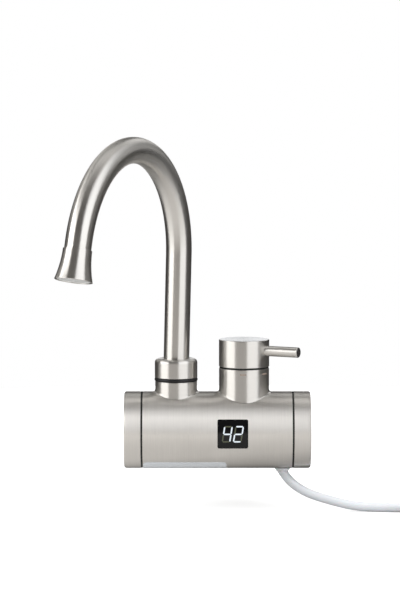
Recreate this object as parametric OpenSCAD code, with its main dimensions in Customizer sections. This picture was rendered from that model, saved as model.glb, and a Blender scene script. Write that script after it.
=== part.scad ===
// Wall-mounted tap with an electric instant water heater in its body.
// Origin: on the wall face, on the axis of the inlet. +Z up, +X right, -Y to the room.

/* [Body] */
// Diameter of the body
body_d = 60; // [56:1:70]
// Length of the body over both end caps
body_len = 145; // [140:1:170]
// Wall of the body shell
shell_wall = 1.2; // [1:0.1:2]
// Distance from the wall face to the body's axis
wall_reach = 62; // [55:1:80]
// Distance from the right end of the body to the valve axis
valve_from_right = 51.7; // [50:0.1:60]
// Length of each end cap outside the shell
cap_len = 13; // [10:0.5:15]
// Rounding of the end caps' outer edge
cap_round = 2; // [1:0.5:4]
// Depth of each end cap's spigot in the shell
cap_spigot = 5; // [4:0.5:6]
// Wall of the end caps
cap_wall = 2.4; // [2:0.1:4]
// Width of the black seal in each seam
seam_w = 1.5; // [1:0.1:3]

/* [Spout] */
// Distance from the left end of the body to the spout axis
spout_from_left = 40.4; // [38:0.1:50]
// Outer diameter of the spout tube
tube_d = 20; // [18:0.5:22]
// Wall of the spout tube
tube_wall = 1; // [0.8:0.1:1.5]
// Height of the arch's centre above the body's axis
arch_z = 137; // [120:1:180]
// Radius of the arch at the tube's centre
arch_r = 83.6; // [70:0.1:95]
// Outward lean of the outlet leg
outlet_lean = 13.7; // [0:0.1:25]
// Straight length of the outlet leg before the nozzle
outlet_len = 5.8; // [2:0.1:20]
// Sideways lean of the tube in its collar
tube_lean = 1.5; // [0:0.1:2]
// Turn of the spout from straight left towards the room
spout_turn = 64; // [0:1:90]
// Outer diameter of the collar
collar_d = 33.2; // [31:0.1:36]
// Height of the collar
collar_h = 14.7; // [14:0.1:24]
// Rounding of the collar's top edge
collar_round = 3; // [1:0.5:4]
// Outer diameter of the neck
neck_d = 32.6; // [31:0.1:36]
// Height of the neck's top above the body's axis
neck_z = 38.2; // [37:0.1:44]
// Outer diameter of the friction ring
friction_d = 33.6; // [33:0.1:36]
// Thickness of the friction ring
friction_h = 2.8; // [2:0.1:4]

/* [Nozzle] */
// Diameter of the nozzle at the tube
nozzle_top_d = 21.6; // [21:0.1:23.5]
// Diameter of the nozzle's rim
nozzle_rim_d = 28.5; // [26:0.1:32]
// Length of the nozzle
nozzle_len = 23.3; // [18:0.1:30]
// Wall of the nozzle at its rim
nozzle_lip = 1.6; // [1:0.1:2.5]

/* [Valve] */
// Outer diameter of the boss
boss_d = 39; // [38:0.1:44]
// Wall of the boss
boss_wall = 2.5; // [2:0.1:3]
// Height of the boss's top above the body's axis
boss_z = 48.4; // [46:0.1:54]
// Diameter of the gap ring under the knob
gap_ring_d = 38.2; // [36:0.1:38.9]
// Thickness of the gap ring
gap_ring_h = 1.3; // [1:0.1:2]
// Diameter of the knob
knob_d = 39.2; // [38:0.1:44]
// Height of the knob
knob_h = 21; // [19:0.1:26]
// Chamfer round the top of the knob
knob_chamfer = 0.6; // [0.2:0.1:1.5]
// Diameter of the lever pin
lever_d = 8; // [6:0.1:9]
// Reach of the lever pin out of the knob
lever_len = 27.7; // [20:0.1:30]
// Turn of the lever pin from straight right towards the room
lever_turn = 28; // [25:1:60]
// Height of the lever pin above the knob's underside
lever_rise = 12.7; // [11.8:0.1:14]
// Diameter of the valve stem
stem_d = 8; // [7:0.1:9]
// Radial running clearance of the stem and the spigot
running_gap = 0.05; // [0.02:0.01:0.09]

/* [Inlet] */
// Major diameter of the inlet thread
thread_d = 20.955; // [20:0.005:21.5]
// Length of the inlet thread behind the wall face
thread_len = 15; // [12:0.5:20]
// Bore of the inlet shank
shank_bore = 13; // [10:0.5:14]
// Diameter of the wall rosette
rosette_d = 54; // [50:1:56]
// Depth of the wall rosette
rosette_depth = 10; // [8:0.5:14]

/* [Display] */
// Width of the display window
window_w = 23.7; // [20:0.1:28]
// Height of the display window, straight across
window_h = 22.6; // [20:0.1:24]
// Distance from the valve axis to the window's centre
window_offset = 9; // [6:0.1:14]
// Height of the two digits
digit_h = 12.8; // [10:0.1:15]
// Distance between the two digits' centres
digit_pitch = 8.6; // [8:0.1:10]
// Stroke of a digit's segments
segment_w = 1.05; // [0.8:0.05:1.4]

/* [Cord] */
// Diameter of the mains cord
cord_d = 7; // [6.5:0.1:7.5]
// Distance from the valve axis to the cord gland
gland_offset = 30; // [28:0.5:32]

/* [Hidden] */
$fn = 96;

// General clearances
cut = 1;
fit = 0.1;
free = 0.3;

// Body positions along X, from the valve axis
right_end = valve_from_right;
left_end = right_end - body_len;
right_seam = right_end - cap_len - seam_w;
left_seam = left_end + cap_len + seam_w;
spout_x = left_end + spout_from_left;
body_r = body_d / 2;
shell_r = body_r - shell_wall;

// Heights of the stack on the spout axis
collar_z = neck_z + friction_h + fit;
spigot_flange_d = collar_d - 5;
spigot_flange_h = 3;
spigot_d = 24;
spigot_wall = 3.6;
spigot_len = 14;
neck_bore = spigot_d + 2 * running_gap;
socket_d = spigot_d + 5;
socket_ledge_z = collar_z - spigot_len - free;
pivot_z = collar_z + spigot_flange_h;
o_ring_t = 1.8;
o_ring_gap = 0.02;
spigot_o_ring_r = neck_bore / 2 - o_ring_gap - o_ring_t / 2;
spigot_o_ring_zs = [collar_z - 4.6, collar_z - spigot_len + 1.6];
grub_d = 4;
grub_hex = 2;
neck_grub_z = (spigot_o_ring_zs[0] + spigot_o_ring_zs[1]) / 2;
neck_groove_r = spigot_d / 2 - 1.4;

// Straight end of the tube, sized a little under for the nozzle and lapped into the arch's wall
outlet_fit = 0.02;
outlet_lap = 0.5;

// Nozzle, measured from the end of the outlet leg
nozzle_socket = 10;
nozzle_bore_z = nozzle_socket + 1;
aerator_z = nozzle_bore_z + 2;
aerator_recess = 0.5;
nozzle_steps = 10;

// Heights of the stack on the valve axis
knob_z = boss_z + gap_ring_h + fit;
lever_z = knob_z + lever_rise;
lever_seat_r = knob_d / 2 - 1.2;
lever_tip_r = knob_d / 2 + lever_len;
lever_chamfer = 0.5;
stud_d = lever_d - 3;
stud_r = lever_seat_r - 8;
knob_wall = 3;
knob_skirt = 8;
knob_hub_d = stem_d + 10;
boss_bore = boss_d - 2 * boss_wall;
stem_top = lever_z + 3;
valve_body_d = boss_bore - 2;
valve_body_bottom = -18;
valve_flat = 15;
seat_z = 16;
disc_d = 20;
disc_h = 3;
port_d = 5;
port_r = 5.5;
fork_h = 2.5;
sleeve_bore = disc_d + 2 * running_gap;
sleeve_d = disc_d + 5;
pocket_top = seat_z + 12;
sleeve_flange_h = 3;
nut_h = 6;
guide_d = stem_d + 8;
guide_top = boss_z - 4;
stem_ring_z = guide_top - 5;
outlet_z = -9;
water_d = 7;
chamber_d = 2 * port_r + port_d + 2;
chamber_h = water_d + 1;
shank_d = thread_d - 0.5;
shank_inner_y = 12;
shank_flange_d = shank_d + 6;
shank_flange_h = 3;
shell_inlet_d = shank_d + 2 * fit;
gasket_t = 1;
gasket_gap = 1;
rosette_wall = 1.5;
rosette_round = 4;

// Heating vessel
vessel_room = 6.3;
vessel_d = 2 * (shell_r - vessel_room);
vessel_wall = 1.5;
vessel_left = left_seam + 2;
vessel_right = -28;
vessel_hole_d = 15;
lid_t = 4;
lid_spigot = 3;
lid_spigot_d = vessel_d - 2 * vessel_wall - 4;
seal_h = 2;
element_d = 6.5;
element_r = 8;
element_room = 2;
element_left = vessel_left + vessel_wall + element_room + element_r + element_d / 2;
element_right = vessel_right - lid_spigot - element_room - element_r - element_d / 2;
element_end = vessel_right + lid_t + 1.5;
terminal_d = 3;
terminal_end = element_end + 3.5;
pipe_wall = 1.5;
pipe_d = 12;
pipe_left = vessel_right - lid_spigot;
pipe_right = -12;
pipe_stop = 2;
piston_d = pipe_d - 2 * pipe_wall - 2 * running_gap;
piston_bore = 4;
piston_travel = 3;
piston_len = pipe_right - pipe_left - pipe_stop - piston_travel;
cutout_d = 14;
cutout_h = 4.8;
cutout_x = spout_x + 3;

// Display
window_x = -window_offset;
window_corner = 1.3;
window_recess = 0.3;
lens_t = 1.4;
lens_rim = 1.5;
lens_back_r = shell_r - lens_t;
digit_w = 5.7;
digit_lean = 9;
segment_t = 0.15;
segment_gap = 0.12;
module_w = 20;
module_h = 16;
module_t = 5;
module_front = sqrt(pow(lens_back_r, 2) - pow(module_h / 2, 2));
board_t = 1.6;

// Label, placed by its angles round the body, from straight front downwards
label_t = 0.15;
label_glue = 0.03;
label_top_angle = 50.7;
label_bottom_angle = 106;
label_right = -13.8;
label_corner = 3;

// Coloured dashes on the boss, by their angles from the front towards the right
mark_t = 0.1;
mark_h = 1;
mark_z = boss_z - 3.6;
mark_spans = [[-10, 4], [45, 63]];

// Electronics
cradle_d = 2 * shell_r - 2 * fit;
cradle_left = valve_body_d / 2 + 4;
cradle_right = right_seam - cap_spigot - free;
cradle_side = 6.7;
cradle_inner_w = cradle_d - 2 * cradle_side;
cradle_floor = -16;
board_left = cradle_left;
board_len = 26;
board_room = 1.4;
board_w = 2 * (shell_r - cap_wall - board_room);
hole_w = 10;
hole_l = 7;
block_left = gland_offset + 7;
block_size = [7, 14, 9];
relay_size = [15, 12, 12];
triac_size = [4, 10, 10];
triac_tab = [1.3, 10, 5];
triac_drop = 2;
lead_d = 2;
lead_gap = 2.6;
lead_bend = 3;
lead_sides = 6;
heater_lead_rise = [9, 5];
heater_lead_back = [8, 12];
heater_lead_top = [18, 15];
heater_lead_side = [18, 20.5];
heater_lead_run_z = [17, 14];
heater_lead_end_y = [19, 21.5];
heater_lead_bend_z = 9;
heater_lead_shift = [1, 4];
heater_lead_end = 3;
heater_lead_step = [0, 0.2];

// Cord gland
gland_flange_d = 12.6;
gland_nose_d = cord_d + 1.8;
gland_neck_d = 9.6;
gland_inner_d = 12;
gland_drop = 2.6;
gland_top = -10.6;
gland_inner_z = -shell_r + 0.8;

// Cord route, moulded into the gland's nose at a slant and led down and out to the coil
cord_sides = 8;
coil_sides = 6;
cord_start_z = -body_r - gland_drop;
lay_z = -60.5;
cord_route = [
    [28.9, -62, -30.9], [30.5, -62, -33.4], [32.3, -62, -36.1], [34.6, -62, -39], [37.7, -62, -42.1],
    [41.4, -62, -45], [45.8, -62, -47.8], [50.6, -62, -50.2], [57.4, -62.2, -52.7], [64.8, -62.8, -54.9],
    [72.6, -63.8, -56.9], [80, -65, -58.5], [88, -66, -59.7], [97, -67, -60.4], [109, -68.5, -60.5],
    [122, -69.5, -60.5], [136, -70, -60.5], [150, -70, -60.5], [165, -70, -60.5]
];

// Coil: spirals in, climbs a layer in the half turn where it reverses, spirals out
coil_x = 172;
coil_entry_y = -70;
coil_turns = 4.25;
coil_rings = 24;
coil_pitch = cord_d + 0.6;
coil_mean_r = 37.5;
coil_out_r = coil_mean_r + coil_pitch * coil_turns / 4;
coil_y = coil_entry_y - coil_out_r;
coil_end_x = coil_x + coil_out_r;
coil_top_z = lay_z + coil_pitch;
tie_w = 5;
tie_t = 0.5;
tie_gap = 0.1;
tie_turn = 0.5;

// Plug, lying on its round side, with its pins towards -Y
plug_d = 37.4;
plug_len = 34;
plug_neck_len = 24;
plug_neck_d = 11;
plug_shoulder_d = 24;
plug_z = lay_z - cord_d / 2 + plug_d / 2;
tail_len = 34;
plug_neck_y = coil_y - tail_len;
plug_face_y = plug_neck_y - plug_neck_len - plug_len;
pin_d = 4.8;
pin_len = 19;
pin_gap = 19;
clip_w = 8;
clip_t = 0.8;
tail_route = [
    [coil_end_x, coil_y - cord_d, coil_top_z], [coil_end_x, coil_y - 13, coil_top_z + 0.9],
    [coil_end_x, coil_y - 20, coil_top_z + 3.8], [coil_end_x, coil_y - 27, plug_z - 0.9],
    [coil_end_x, plug_neck_y, plug_z]
];

// Swept tubes
function unit(v) = v / norm(v);
function tangent(path, i) = unit(path[min(i + 1, len(path) - 1)] - path[max(i - 1, 0)]);
function carried(path, i, side) =
    i == len(path) ? [] :
    let (along = tangent(path, i), next = unit(side - (side * along) * along))
    concat([next], carried(path, i + 1, next));
function tube_points(path, r, sides, side) =
    let (normals = carried(path, 0, side))
    [for (i = [0:len(path) - 1])
        let (up = cross(tangent(path, i), normals[i]))
        for (k = [0:sides - 1])
            path[i] + r * (cos(360 * k / sides) * normals[i] + sin(360 * k / sides) * up)];
function tube_faces(rings, sides) = concat(
    [for (k = [1:sides - 2]) [0, k, k + 1]],
    [for (k = [1:sides - 2]) let (last = (rings - 1) * sides) [last, last + k + 1, last + k]],
    [for (i = [0:rings - 2]) for (k = [0:sides - 1])
        let (a = i * sides + k, b = i * sides + (k + 1) % sides) [a, a + sides, b]],
    [for (i = [0:rings - 2]) for (k = [0:sides - 1])
        let (a = i * sides + k, b = i * sides + (k + 1) % sides) [b, a + sides, b + sides]]
);

// A tube of the given diameter through the points of a path
module swept_tube(path, diameter, sides, side = [0, 1, 0]) {
    polyhedron(
        points = tube_points(path, diameter / 2, sides, side),
        faces = tube_faces(len(path), sides)
    );
}

// The coil's centre line
function coil_drop(turn) = coil_pitch * min(turn, coil_turns - turn);
function coil_climb(turn) = coil_pitch * min(1, max(0, (turn - coil_turns / 2 + 0.25) * 2));
function coil_point(turn) =
    let (r = coil_out_r - coil_drop(turn), angle = 90 - 360 * turn)
    [coil_x + r * cos(angle), coil_y + r * sin(angle), lay_z + coil_climb(turn)];
coil_path = concat(
    [[coil_x - cord_d, coil_entry_y, lay_z]],
    [for (i = [0:coil_turns * coil_rings]) coil_point(i / coil_rings)],
    [[coil_end_x, coil_y - cord_d, coil_top_z]]
);
coil_gap = min([
    for (i = [0:len(coil_path) - 1]) for (k = [i + coil_rings / 2:len(coil_path) - 1])
        norm(coil_path[i] - coil_path[k]) - cord_d
]);
echo(coil_least_gap = coil_gap);

// Placing
module on_body() {
    translate([0, -wall_reach, 0]) children();
}

module on_spout() {
    translate([spout_x, -wall_reach, 0]) children();
}

// Frame of the spout tube: X towards the outlet, leaning about the spigot's top
module on_tube() {
    on_spout()
    rotate([0, 0, 180 + spout_turn])
    translate([0, 0, pivot_z])
    rotate([-tube_lean, 0, 0])
    translate([0, 0, -pivot_z])
    children();
}

// Frame of the outlet: Z along the water, from the end of the arch
module at_outlet() {
    on_tube()
    translate([arch_r * (1 + cos(outlet_lean)), 0, arch_z + arch_r * sin(outlet_lean)])
    rotate([0, 180 - outlet_lean, 0])
    children();
}

module along_x(x) {
    translate([x, 0, 0]) rotate([0, 90, 0]) children();
}

module ring(outer_d, inner_d, h) {
    difference() {
        cylinder(d = outer_d, h = h);
        translate([0, 0, -cut]) cylinder(d = inner_d, h = h + 2 * cut);
    }
}

module torus(ring_r, section_d) {
    rotate_extrude() translate([ring_r, 0]) circle(d = section_d, $fn = 48);
}

module body_block(r) {
    along_x(left_end - cut) cylinder(r = r, h = body_len + 2 * cut);
}

module centred_box(size) {
    translate([-size[0] / 2, -size[1] / 2, 0]) cube(size);
}

// A grub screw along Z, its tip at the origin
module grub_screw(length) {
    difference() {
        cylinder(d = grub_d, h = length);
        translate([0, 0, length - 2]) cylinder(d = grub_hex, h = 3, $fn = 6);
    }
}

// Rounded rectangle of four arcs
module rounded_rect(w, h, r) {
    polygon([
        for (corner = [0:3]) for (step = [0:4])
            let (angle = corner * 90 + step * 22.5)
            let (sx = corner == 0 || corner == 3 ? 1 : -1, sy = corner < 2 ? 1 : -1)
            [sx * (w / 2 - r) + r * cos(angle), sy * (h / 2 - r) + r * sin(angle)]
    ]);
}

// Prism of the window's outline, through the front of the body
module window_prism(grow) {
    translate([window_x, 0, 0])
    rotate([90, 0, 0])
    linear_extrude(body_r + cut)
    rounded_rect(window_w + 2 * grow, window_h + 2 * grow, window_corner);
}

module end_cap(round_end, sign) {
    translate([round_end, 0, 0])
    rotate([0, sign * 90, 0])
    rotate_extrude()
    polygon(concat(
        [[0, 0], [0, cap_wall], [shell_r - cap_wall, cap_wall]],
        [[shell_r - cap_wall, cap_len + seam_w + cap_spigot], [shell_r, cap_len + seam_w + cap_spigot]],
        [[shell_r, cap_len], [body_r, cap_len]],
        [for (step = [0:6]) let (angle = 15 * step)
            [body_r - cap_round + cap_round * cos(angle), cap_round - cap_round * sin(angle)]]
    ));
}

// Casing
module body_shell() {
    color("gainsboro") on_body() difference() {
        along_x(left_seam) ring(body_d, 2 * shell_r, right_seam - left_seam);
        translate([spout_x, 0, 0]) cylinder(d = socket_d, h = body_r + cut);
        cylinder(d = boss_bore, h = body_r + cut);
        window_prism(0);
        rotate([-90, 0, 0]) cylinder(d = shell_inlet_d, h = body_r + cut);
        translate([gland_offset, 0, -body_r - cut]) cylinder(d = gland_neck_d, h = body_r);
    }
}

module left_end_cap() {
    color("gainsboro") on_body() end_cap(left_end, 1);
}

module right_end_cap() {
    color("gainsboro") on_body() difference() {
        end_cap(right_end, -1);
        translate([gland_offset, 0, -body_r - cut]) cylinder(d = gland_inner_d + 2 * free, h = body_r);
    }
}

module seal_rings() {
    color("black") on_body() for (x = [left_seam - seam_w, right_seam])
        along_x(x) ring(body_d - 0.4, 2 * shell_r, seam_w);
}

module spout_neck() {
    color("gainsboro") on_spout() difference() {
        union() {
            difference() {
                cylinder(d = neck_d, h = neck_z);
                translate([-spout_x, 0, 0]) body_block(body_r);
            }
            cylinder(d = socket_d, h = neck_z);
        }
        translate([-spout_x, 0, 0]) body_block(vessel_d / 2);
        translate([0, 0, -cut]) cylinder(d = vessel_hole_d, h = neck_z + 2 * cut);
        translate([0, 0, socket_ledge_z]) cylinder(d = neck_bore, h = neck_z);
        translate([0, 0, neck_grub_z]) rotate([-90, 0, 0]) cylinder(d = grub_d, h = neck_d);
    }
}

module friction_ring() {
    color("black") on_spout() translate([0, 0, neck_z])
        ring(friction_d, neck_bore + 2 * free, friction_h);
}

module neck_grub_screw() {
    tip_y = neck_groove_r + free;
    color("dimgray") on_spout() translate([0, tip_y, neck_grub_z]) rotate([-90, 0, 0])
        grub_screw(neck_d / 2 - tip_y - free);
}

module valve_boss() {
    color("gainsboro") on_body() difference() {
        cylinder(d = boss_d, h = boss_z);
        body_block(body_r);
        cylinder(d = boss_bore, h = boss_z + cut);
    }
}

module gap_ring() {
    color("black") on_body() translate([0, 0, boss_z]) ring(gap_ring_d, boss_bore, gap_ring_h);
}

module hot_mark() {
    color("darkorange") on_body() for (span = mark_spans)
        translate([0, 0, mark_z]) rotate([0, 0, span[0] - 90])
        rotate_extrude(angle = span[1] - span[0])
        translate([boss_d / 2, -mark_h / 2]) square([mark_t, mark_h]);
}

// Display
module display_window() {
    color("black") on_body() intersection() {
        union() {
            intersection() {
                along_x(left_seam) cylinder(r = body_r - window_recess, h = body_len);
                window_prism(-0.05);
            }
            intersection() {
                along_x(left_seam) cylinder(r = shell_r, h = body_len);
                window_prism(lens_rim);
            }
        }
        difference() {
            along_x(left_seam) cylinder(r = body_r, h = body_len);
            along_x(left_seam - cut) cylinder(r = lens_back_r, h = body_len + 2 * cut);
        }
    }
}

// One bar of a digit between two points, with pointed ends, leaning as the digit does
module segment(from, to) {
    along = unit(to - from);
    across = [-along[1], along[0]] * segment_w / 2;
    start = from + along * segment_gap;
    end = to - along * segment_gap;
    tip = along * segment_w / 2;
    points = [start, start + tip + across, end - tip + across, end, end - tip - across, start + tip - across];
    polygon([for (p = points) [p[0] + p[1] * tan(digit_lean), p[1]]]);
}

module segments(shown) {
    w = digit_w / 2;
    h = (digit_h - segment_w) / 2;
    ends = [
        [[-w, h], [w, h]], [[w, h], [w, 0]], [[w, 0], [w, -h]], [[-w, -h], [w, -h]],
        [[-w, -h], [-w, 0]], [[-w, 0], [-w, h]], [[-w, 0], [w, 0]]
    ];
    for (i = shown) segment(ends[i][0], ends[i][1]);
}

// Bars on the face of the window: lists of bar numbers for the left and the right digit
module digits(left_bars, right_bars) {
    face_r = body_r - window_recess;
    on_body() intersection() {
        along_x(left_seam) ring(2 * (face_r + segment_t), 2 * face_r, body_len);
        translate([window_x, 0, 0]) rotate([90, 0, 0]) linear_extrude(body_r + cut) {
            translate([-digit_pitch / 2, 0]) segments(left_bars);
            translate([digit_pitch / 2, 0]) segments(right_bars);
        }
    }
}

module digits_lit() {
    color("white") digits([1, 2, 5, 6], [0, 1, 3, 4, 6]);
}

module digits_unlit() {
    color("darkolivegreen") digits([0, 3, 4], [2, 5]);
}

module display_module() {
    color("dimgray") on_body() translate([window_x, module_t / 2 - module_front, -module_h / 2])
        centred_box([module_w, module_t, module_h]);
}

module display_board() {
    color("darkgreen") on_body()
        translate([window_x, module_t + board_t / 2 - module_front, -window_h / 2])
        centred_box([window_w, board_t, window_h]);
}

module blank_label() {
    middle = (label_top_angle + label_bottom_angle) / 2;
    left = left_seam + free;
    back_d = body_d + 2 * label_glue;
    chord = back_d * sin((label_bottom_angle - label_top_angle) / 2);
    color("lightsteelblue") on_body() intersection() {
        along_x(left_seam) ring(back_d + 2 * label_t, back_d, body_len);
        translate([(left + label_right) / 2, 0, 0]) rotate([90 + middle, 0, 0])
            linear_extrude(body_d) rounded_rect(label_right - left, chord, label_corner);
    }
}

// Inlet
module inlet_shank() {
    color("silver") on_body() rotate([-90, 0, 0]) difference() {
        union() {
            translate([0, 0, shank_inner_y]) cylinder(d = shank_d, h = wall_reach - shank_inner_y);
            translate([0, 0, wall_reach]) cylinder(d = thread_d, h = thread_len);
            translate([0, 0, body_r]) cylinder(d = shank_flange_d, h = shank_flange_h);
        }
        cylinder(d = shank_bore, h = wall_reach + thread_len + cut);
        rotate([90, 0, 0]) body_block(body_r - shank_flange_h);
    }
}

module wall_rosette() {
    depth = rosette_depth - gasket_t;
    color("gainsboro") translate([0, -rosette_depth, 0]) rotate([-90, 0, 0]) difference() {
        rotate_extrude() polygon(concat(
            [[0, 0]],
            [for (step = [0:6]) let (angle = 15 * step)
                [rosette_d / 2 - rosette_round * (1 - sin(angle)), rosette_round * (1 - cos(angle))]],
            [[rosette_d / 2, depth], [0, depth]]
        ));
        translate([0, 0, rosette_wall]) cylinder(d = rosette_d - 2 * rosette_wall, h = depth);
        translate([0, 0, -cut]) cylinder(d = thread_d + 2 * fit, h = depth + 2 * cut);
    }
}

module wall_gasket() {
    color("black") translate([0, -gasket_t, 0]) rotate([-90, 0, 0]) ring(rosette_d, thread_d + 2 * gasket_gap, gasket_t);
}

module inlet_filter() {
    color("whitesmoke") translate([0, thread_len - 3, 0]) rotate([-90, 0, 0]) difference() {
        cylinder(d = shank_bore, h = 2);
        for (ring_r = [2, 4.5]) for (angle = [0:60:300])
            rotate([0, 0, angle]) translate([ring_r, 0, -cut]) cylinder(d = 1.2, h = 4, $fn = 12);
    }
}

// Valve
module valve_body() {
    color("goldenrod") on_body() difference() {
        translate([0, 0, valve_body_bottom]) cylinder(d = valve_body_d, h = pocket_top - valve_body_bottom);
        translate([valve_flat, -valve_body_d, valve_body_bottom - cut])
            cube([valve_body_d, 2 * valve_body_d, seat_z - valve_body_bottom]);
        translate([0, 0, seat_z]) cylinder(d = sleeve_d, h = pocket_top);
        rotate([-90, 0, 0]) translate([0, 0, port_r - port_d / 2 - cut]) cylinder(d = water_d, h = valve_body_d);
        rotate([-90, 0, 0]) translate([0, 0, shank_inner_y]) cylinder(d = shank_d, h = valve_body_d);
        translate([0, port_r, 0]) cylinder(d = port_d, h = seat_z + cut);
        translate([0, -port_r, outlet_z]) cylinder(d = port_d, h = seat_z - outlet_z + cut);
        translate([0, 0, outlet_z]) {
            translate([0, 0, -chamber_h / 2]) cylinder(d = chamber_d, h = chamber_h);
            along_x(-valve_body_d) cylinder(d = water_d, h = valve_body_d);
            along_x(-valve_body_d) cylinder(d = pipe_d, h = valve_body_d + pipe_right);
        }
    }
}

module valve_disc(z, h) {
    translate([0, 0, z]) difference() {
        cylinder(d = disc_d, h = h);
        for (y = [-port_r, port_r]) translate([0, y, -cut]) cylinder(d = port_d, h = h + 2 * cut);
    }
}

module fixed_disc() {
    color("ivory") on_body() valve_disc(seat_z, disc_h);
}

module moving_disc() {
    color("white") on_body() rotate([0, 0, -lever_turn]) valve_disc(seat_z + disc_h, disc_h);
}

module cartridge_sleeve() {
    ceiling = seat_z + 2 * disc_h + fork_h + free;
    color("khaki") on_body() difference() {
        union() {
            translate([0, 0, seat_z]) cylinder(d = sleeve_d, h = pocket_top - seat_z);
            translate([0, 0, pocket_top]) cylinder(d = valve_body_d, h = sleeve_flange_h);
            cylinder(d = guide_d, h = guide_top);
        }
        translate([0, 0, -cut]) cylinder(d = sleeve_bore, h = ceiling + cut);
        cylinder(d = stem_d + 2 * running_gap, h = guide_top + cut);
        translate([0, 0, stem_ring_z - o_ring_t / 2])
            cylinder(d = stem_d + 2 * o_ring_gap + 2 * o_ring_t, h = o_ring_t);
    }
}

module cartridge_nut() {
    color("goldenrod") on_body() translate([0, 0, pocket_top + sleeve_flange_h])
        ring(boss_bore, guide_d + 2, nut_h);
}

module stem_o_ring() {
    color("black") on_body() translate([0, 0, stem_ring_z])
        torus(stem_d / 2 + o_ring_gap + o_ring_t / 2, o_ring_t);
}

// Heater
module heating_vessel() {
    color("silver") on_body() difference() {
        along_x(vessel_left) cylinder(d = vessel_d, h = vessel_right - vessel_left);
        along_x(vessel_left + vessel_wall) cylinder(d = vessel_d - 2 * vessel_wall, h = vessel_right - vessel_left);
        translate([spout_x, 0, 0]) cylinder(d = vessel_hole_d, h = vessel_d);
    }
}

module vessel_lid() {
    color("silver") on_body() difference() {
        union() {
            along_x(vessel_right) cylinder(d = vessel_d, h = lid_t);
            along_x(vessel_right - lid_spigot) cylinder(d = lid_spigot_d, h = lid_spigot);
        }
        translate([0, 0, outlet_z]) along_x(pipe_left - cut) cylinder(d = pipe_d, h = lid_t + lid_spigot + 2 * cut);
        for (y = [-element_r, element_r])
            translate([0, y, element_r]) along_x(pipe_left - cut)
                cylinder(d = element_d, h = lid_t + lid_spigot + 2 * cut);
    }
}

module vessel_seal() {
    color("firebrick") on_body() along_x(vessel_right - seal_h)
        ring(vessel_d - 2 * vessel_wall, lid_spigot_d, seal_h);
}

// A half turn of the element round the local Z axis, on the +X side
module element_bend() {
    rotate([0, 0, -90]) rotate_extrude(angle = 180) translate([element_r, 0]) circle(d = element_d, $fn = 48);
}

module heating_element() {
    run = element_right - element_left;
    color("darkgray") on_body() {
        for (y = [-element_r, element_r]) {
            translate([0, y, element_r]) {
                along_x(element_left) cylinder(d = element_d, h = element_end - element_left);
                along_x(element_end) cylinder(d = terminal_d, h = terminal_end - element_end);
            }
            translate([0, y, -element_r]) along_x(element_left) cylinder(d = element_d, h = run);
            translate([element_left, y, 0]) rotate([90, 0, 180]) element_bend();
        }
        translate([element_right, 0, -element_r]) element_bend();
    }
}

module terminal_seals() {
    color("firebrick") on_body() for (y = [-element_r, element_r])
        translate([0, y, element_r]) along_x(vessel_right + lid_t) ring(element_d + 4, element_d, 1.2);
}

module flow_pipe() {
    color("goldenrod") on_body() translate([0, 0, outlet_z]) difference() {
        along_x(pipe_left) cylinder(d = pipe_d, h = pipe_right - pipe_left);
        along_x(pipe_left + pipe_stop) cylinder(d = pipe_d - 2 * pipe_wall, h = pipe_right - pipe_left);
        along_x(pipe_left - cut) cylinder(d = water_d, h = pipe_right - pipe_left);
    }
}

module flow_piston() {
    color("saddlebrown") on_body() translate([0, 0, outlet_z])
        along_x(pipe_left + pipe_stop + piston_travel) ring(piston_d, piston_bore, piston_len);
}

module reed_switch() {
    length = 6.5;
    color("darkgreen") on_body()
        translate([vessel_right + lid_t + length / 2 + free, 0, outlet_z - pipe_d / 2 - 4])
        centred_box([length, 5, 4]);
}

module thermal_cutout() {
    color("black") on_body() translate([cutout_x, 0, -vessel_d / 2 - cutout_h]) cylinder(d = cutout_d, h = cutout_h);
}

// Electronics
module board_cradle() {
    color("dimgray") on_body() difference() {
        along_x(cradle_left) cylinder(d = cradle_d, h = cradle_right - cradle_left);
        translate([cradle_left - cut, -body_r, 0]) cube([body_len, body_d, body_r]);
        translate([cradle_left - cut, -cradle_inner_w / 2, cradle_floor])
            cube([body_len, cradle_inner_w, body_r]);
        translate([gland_offset, 0, -body_r]) cylinder(d = gland_inner_d + 2 * free, h = body_r);
    }
}

module control_board() {
    color("darkgreen") on_body() difference() {
        translate([board_left, -board_w / 2, 0]) cube([board_len, board_w, board_t]);
        translate([gland_offset, 0, -cut]) centred_box([hole_l, hole_w, board_t + 2 * cut]);
    }
}

module relay() {
    color("royalblue") on_body()
        translate([board_left + board_len - relay_size[0] - 2, block_size[1] / 2 + 1, board_t]) cube(relay_size);
}

module triac() {
    color("dimgray") on_body() translate([valve_flat, -triac_size[1] / 2, -triac_drop]) {
        cube(triac_size);
        translate([0, 0, triac_size[2]]) cube(triac_tab);
    }
}

module terminal_block() {
    color("seagreen") on_body() translate([block_left, -block_size[1] / 2, board_t]) cube(block_size);
}

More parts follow.
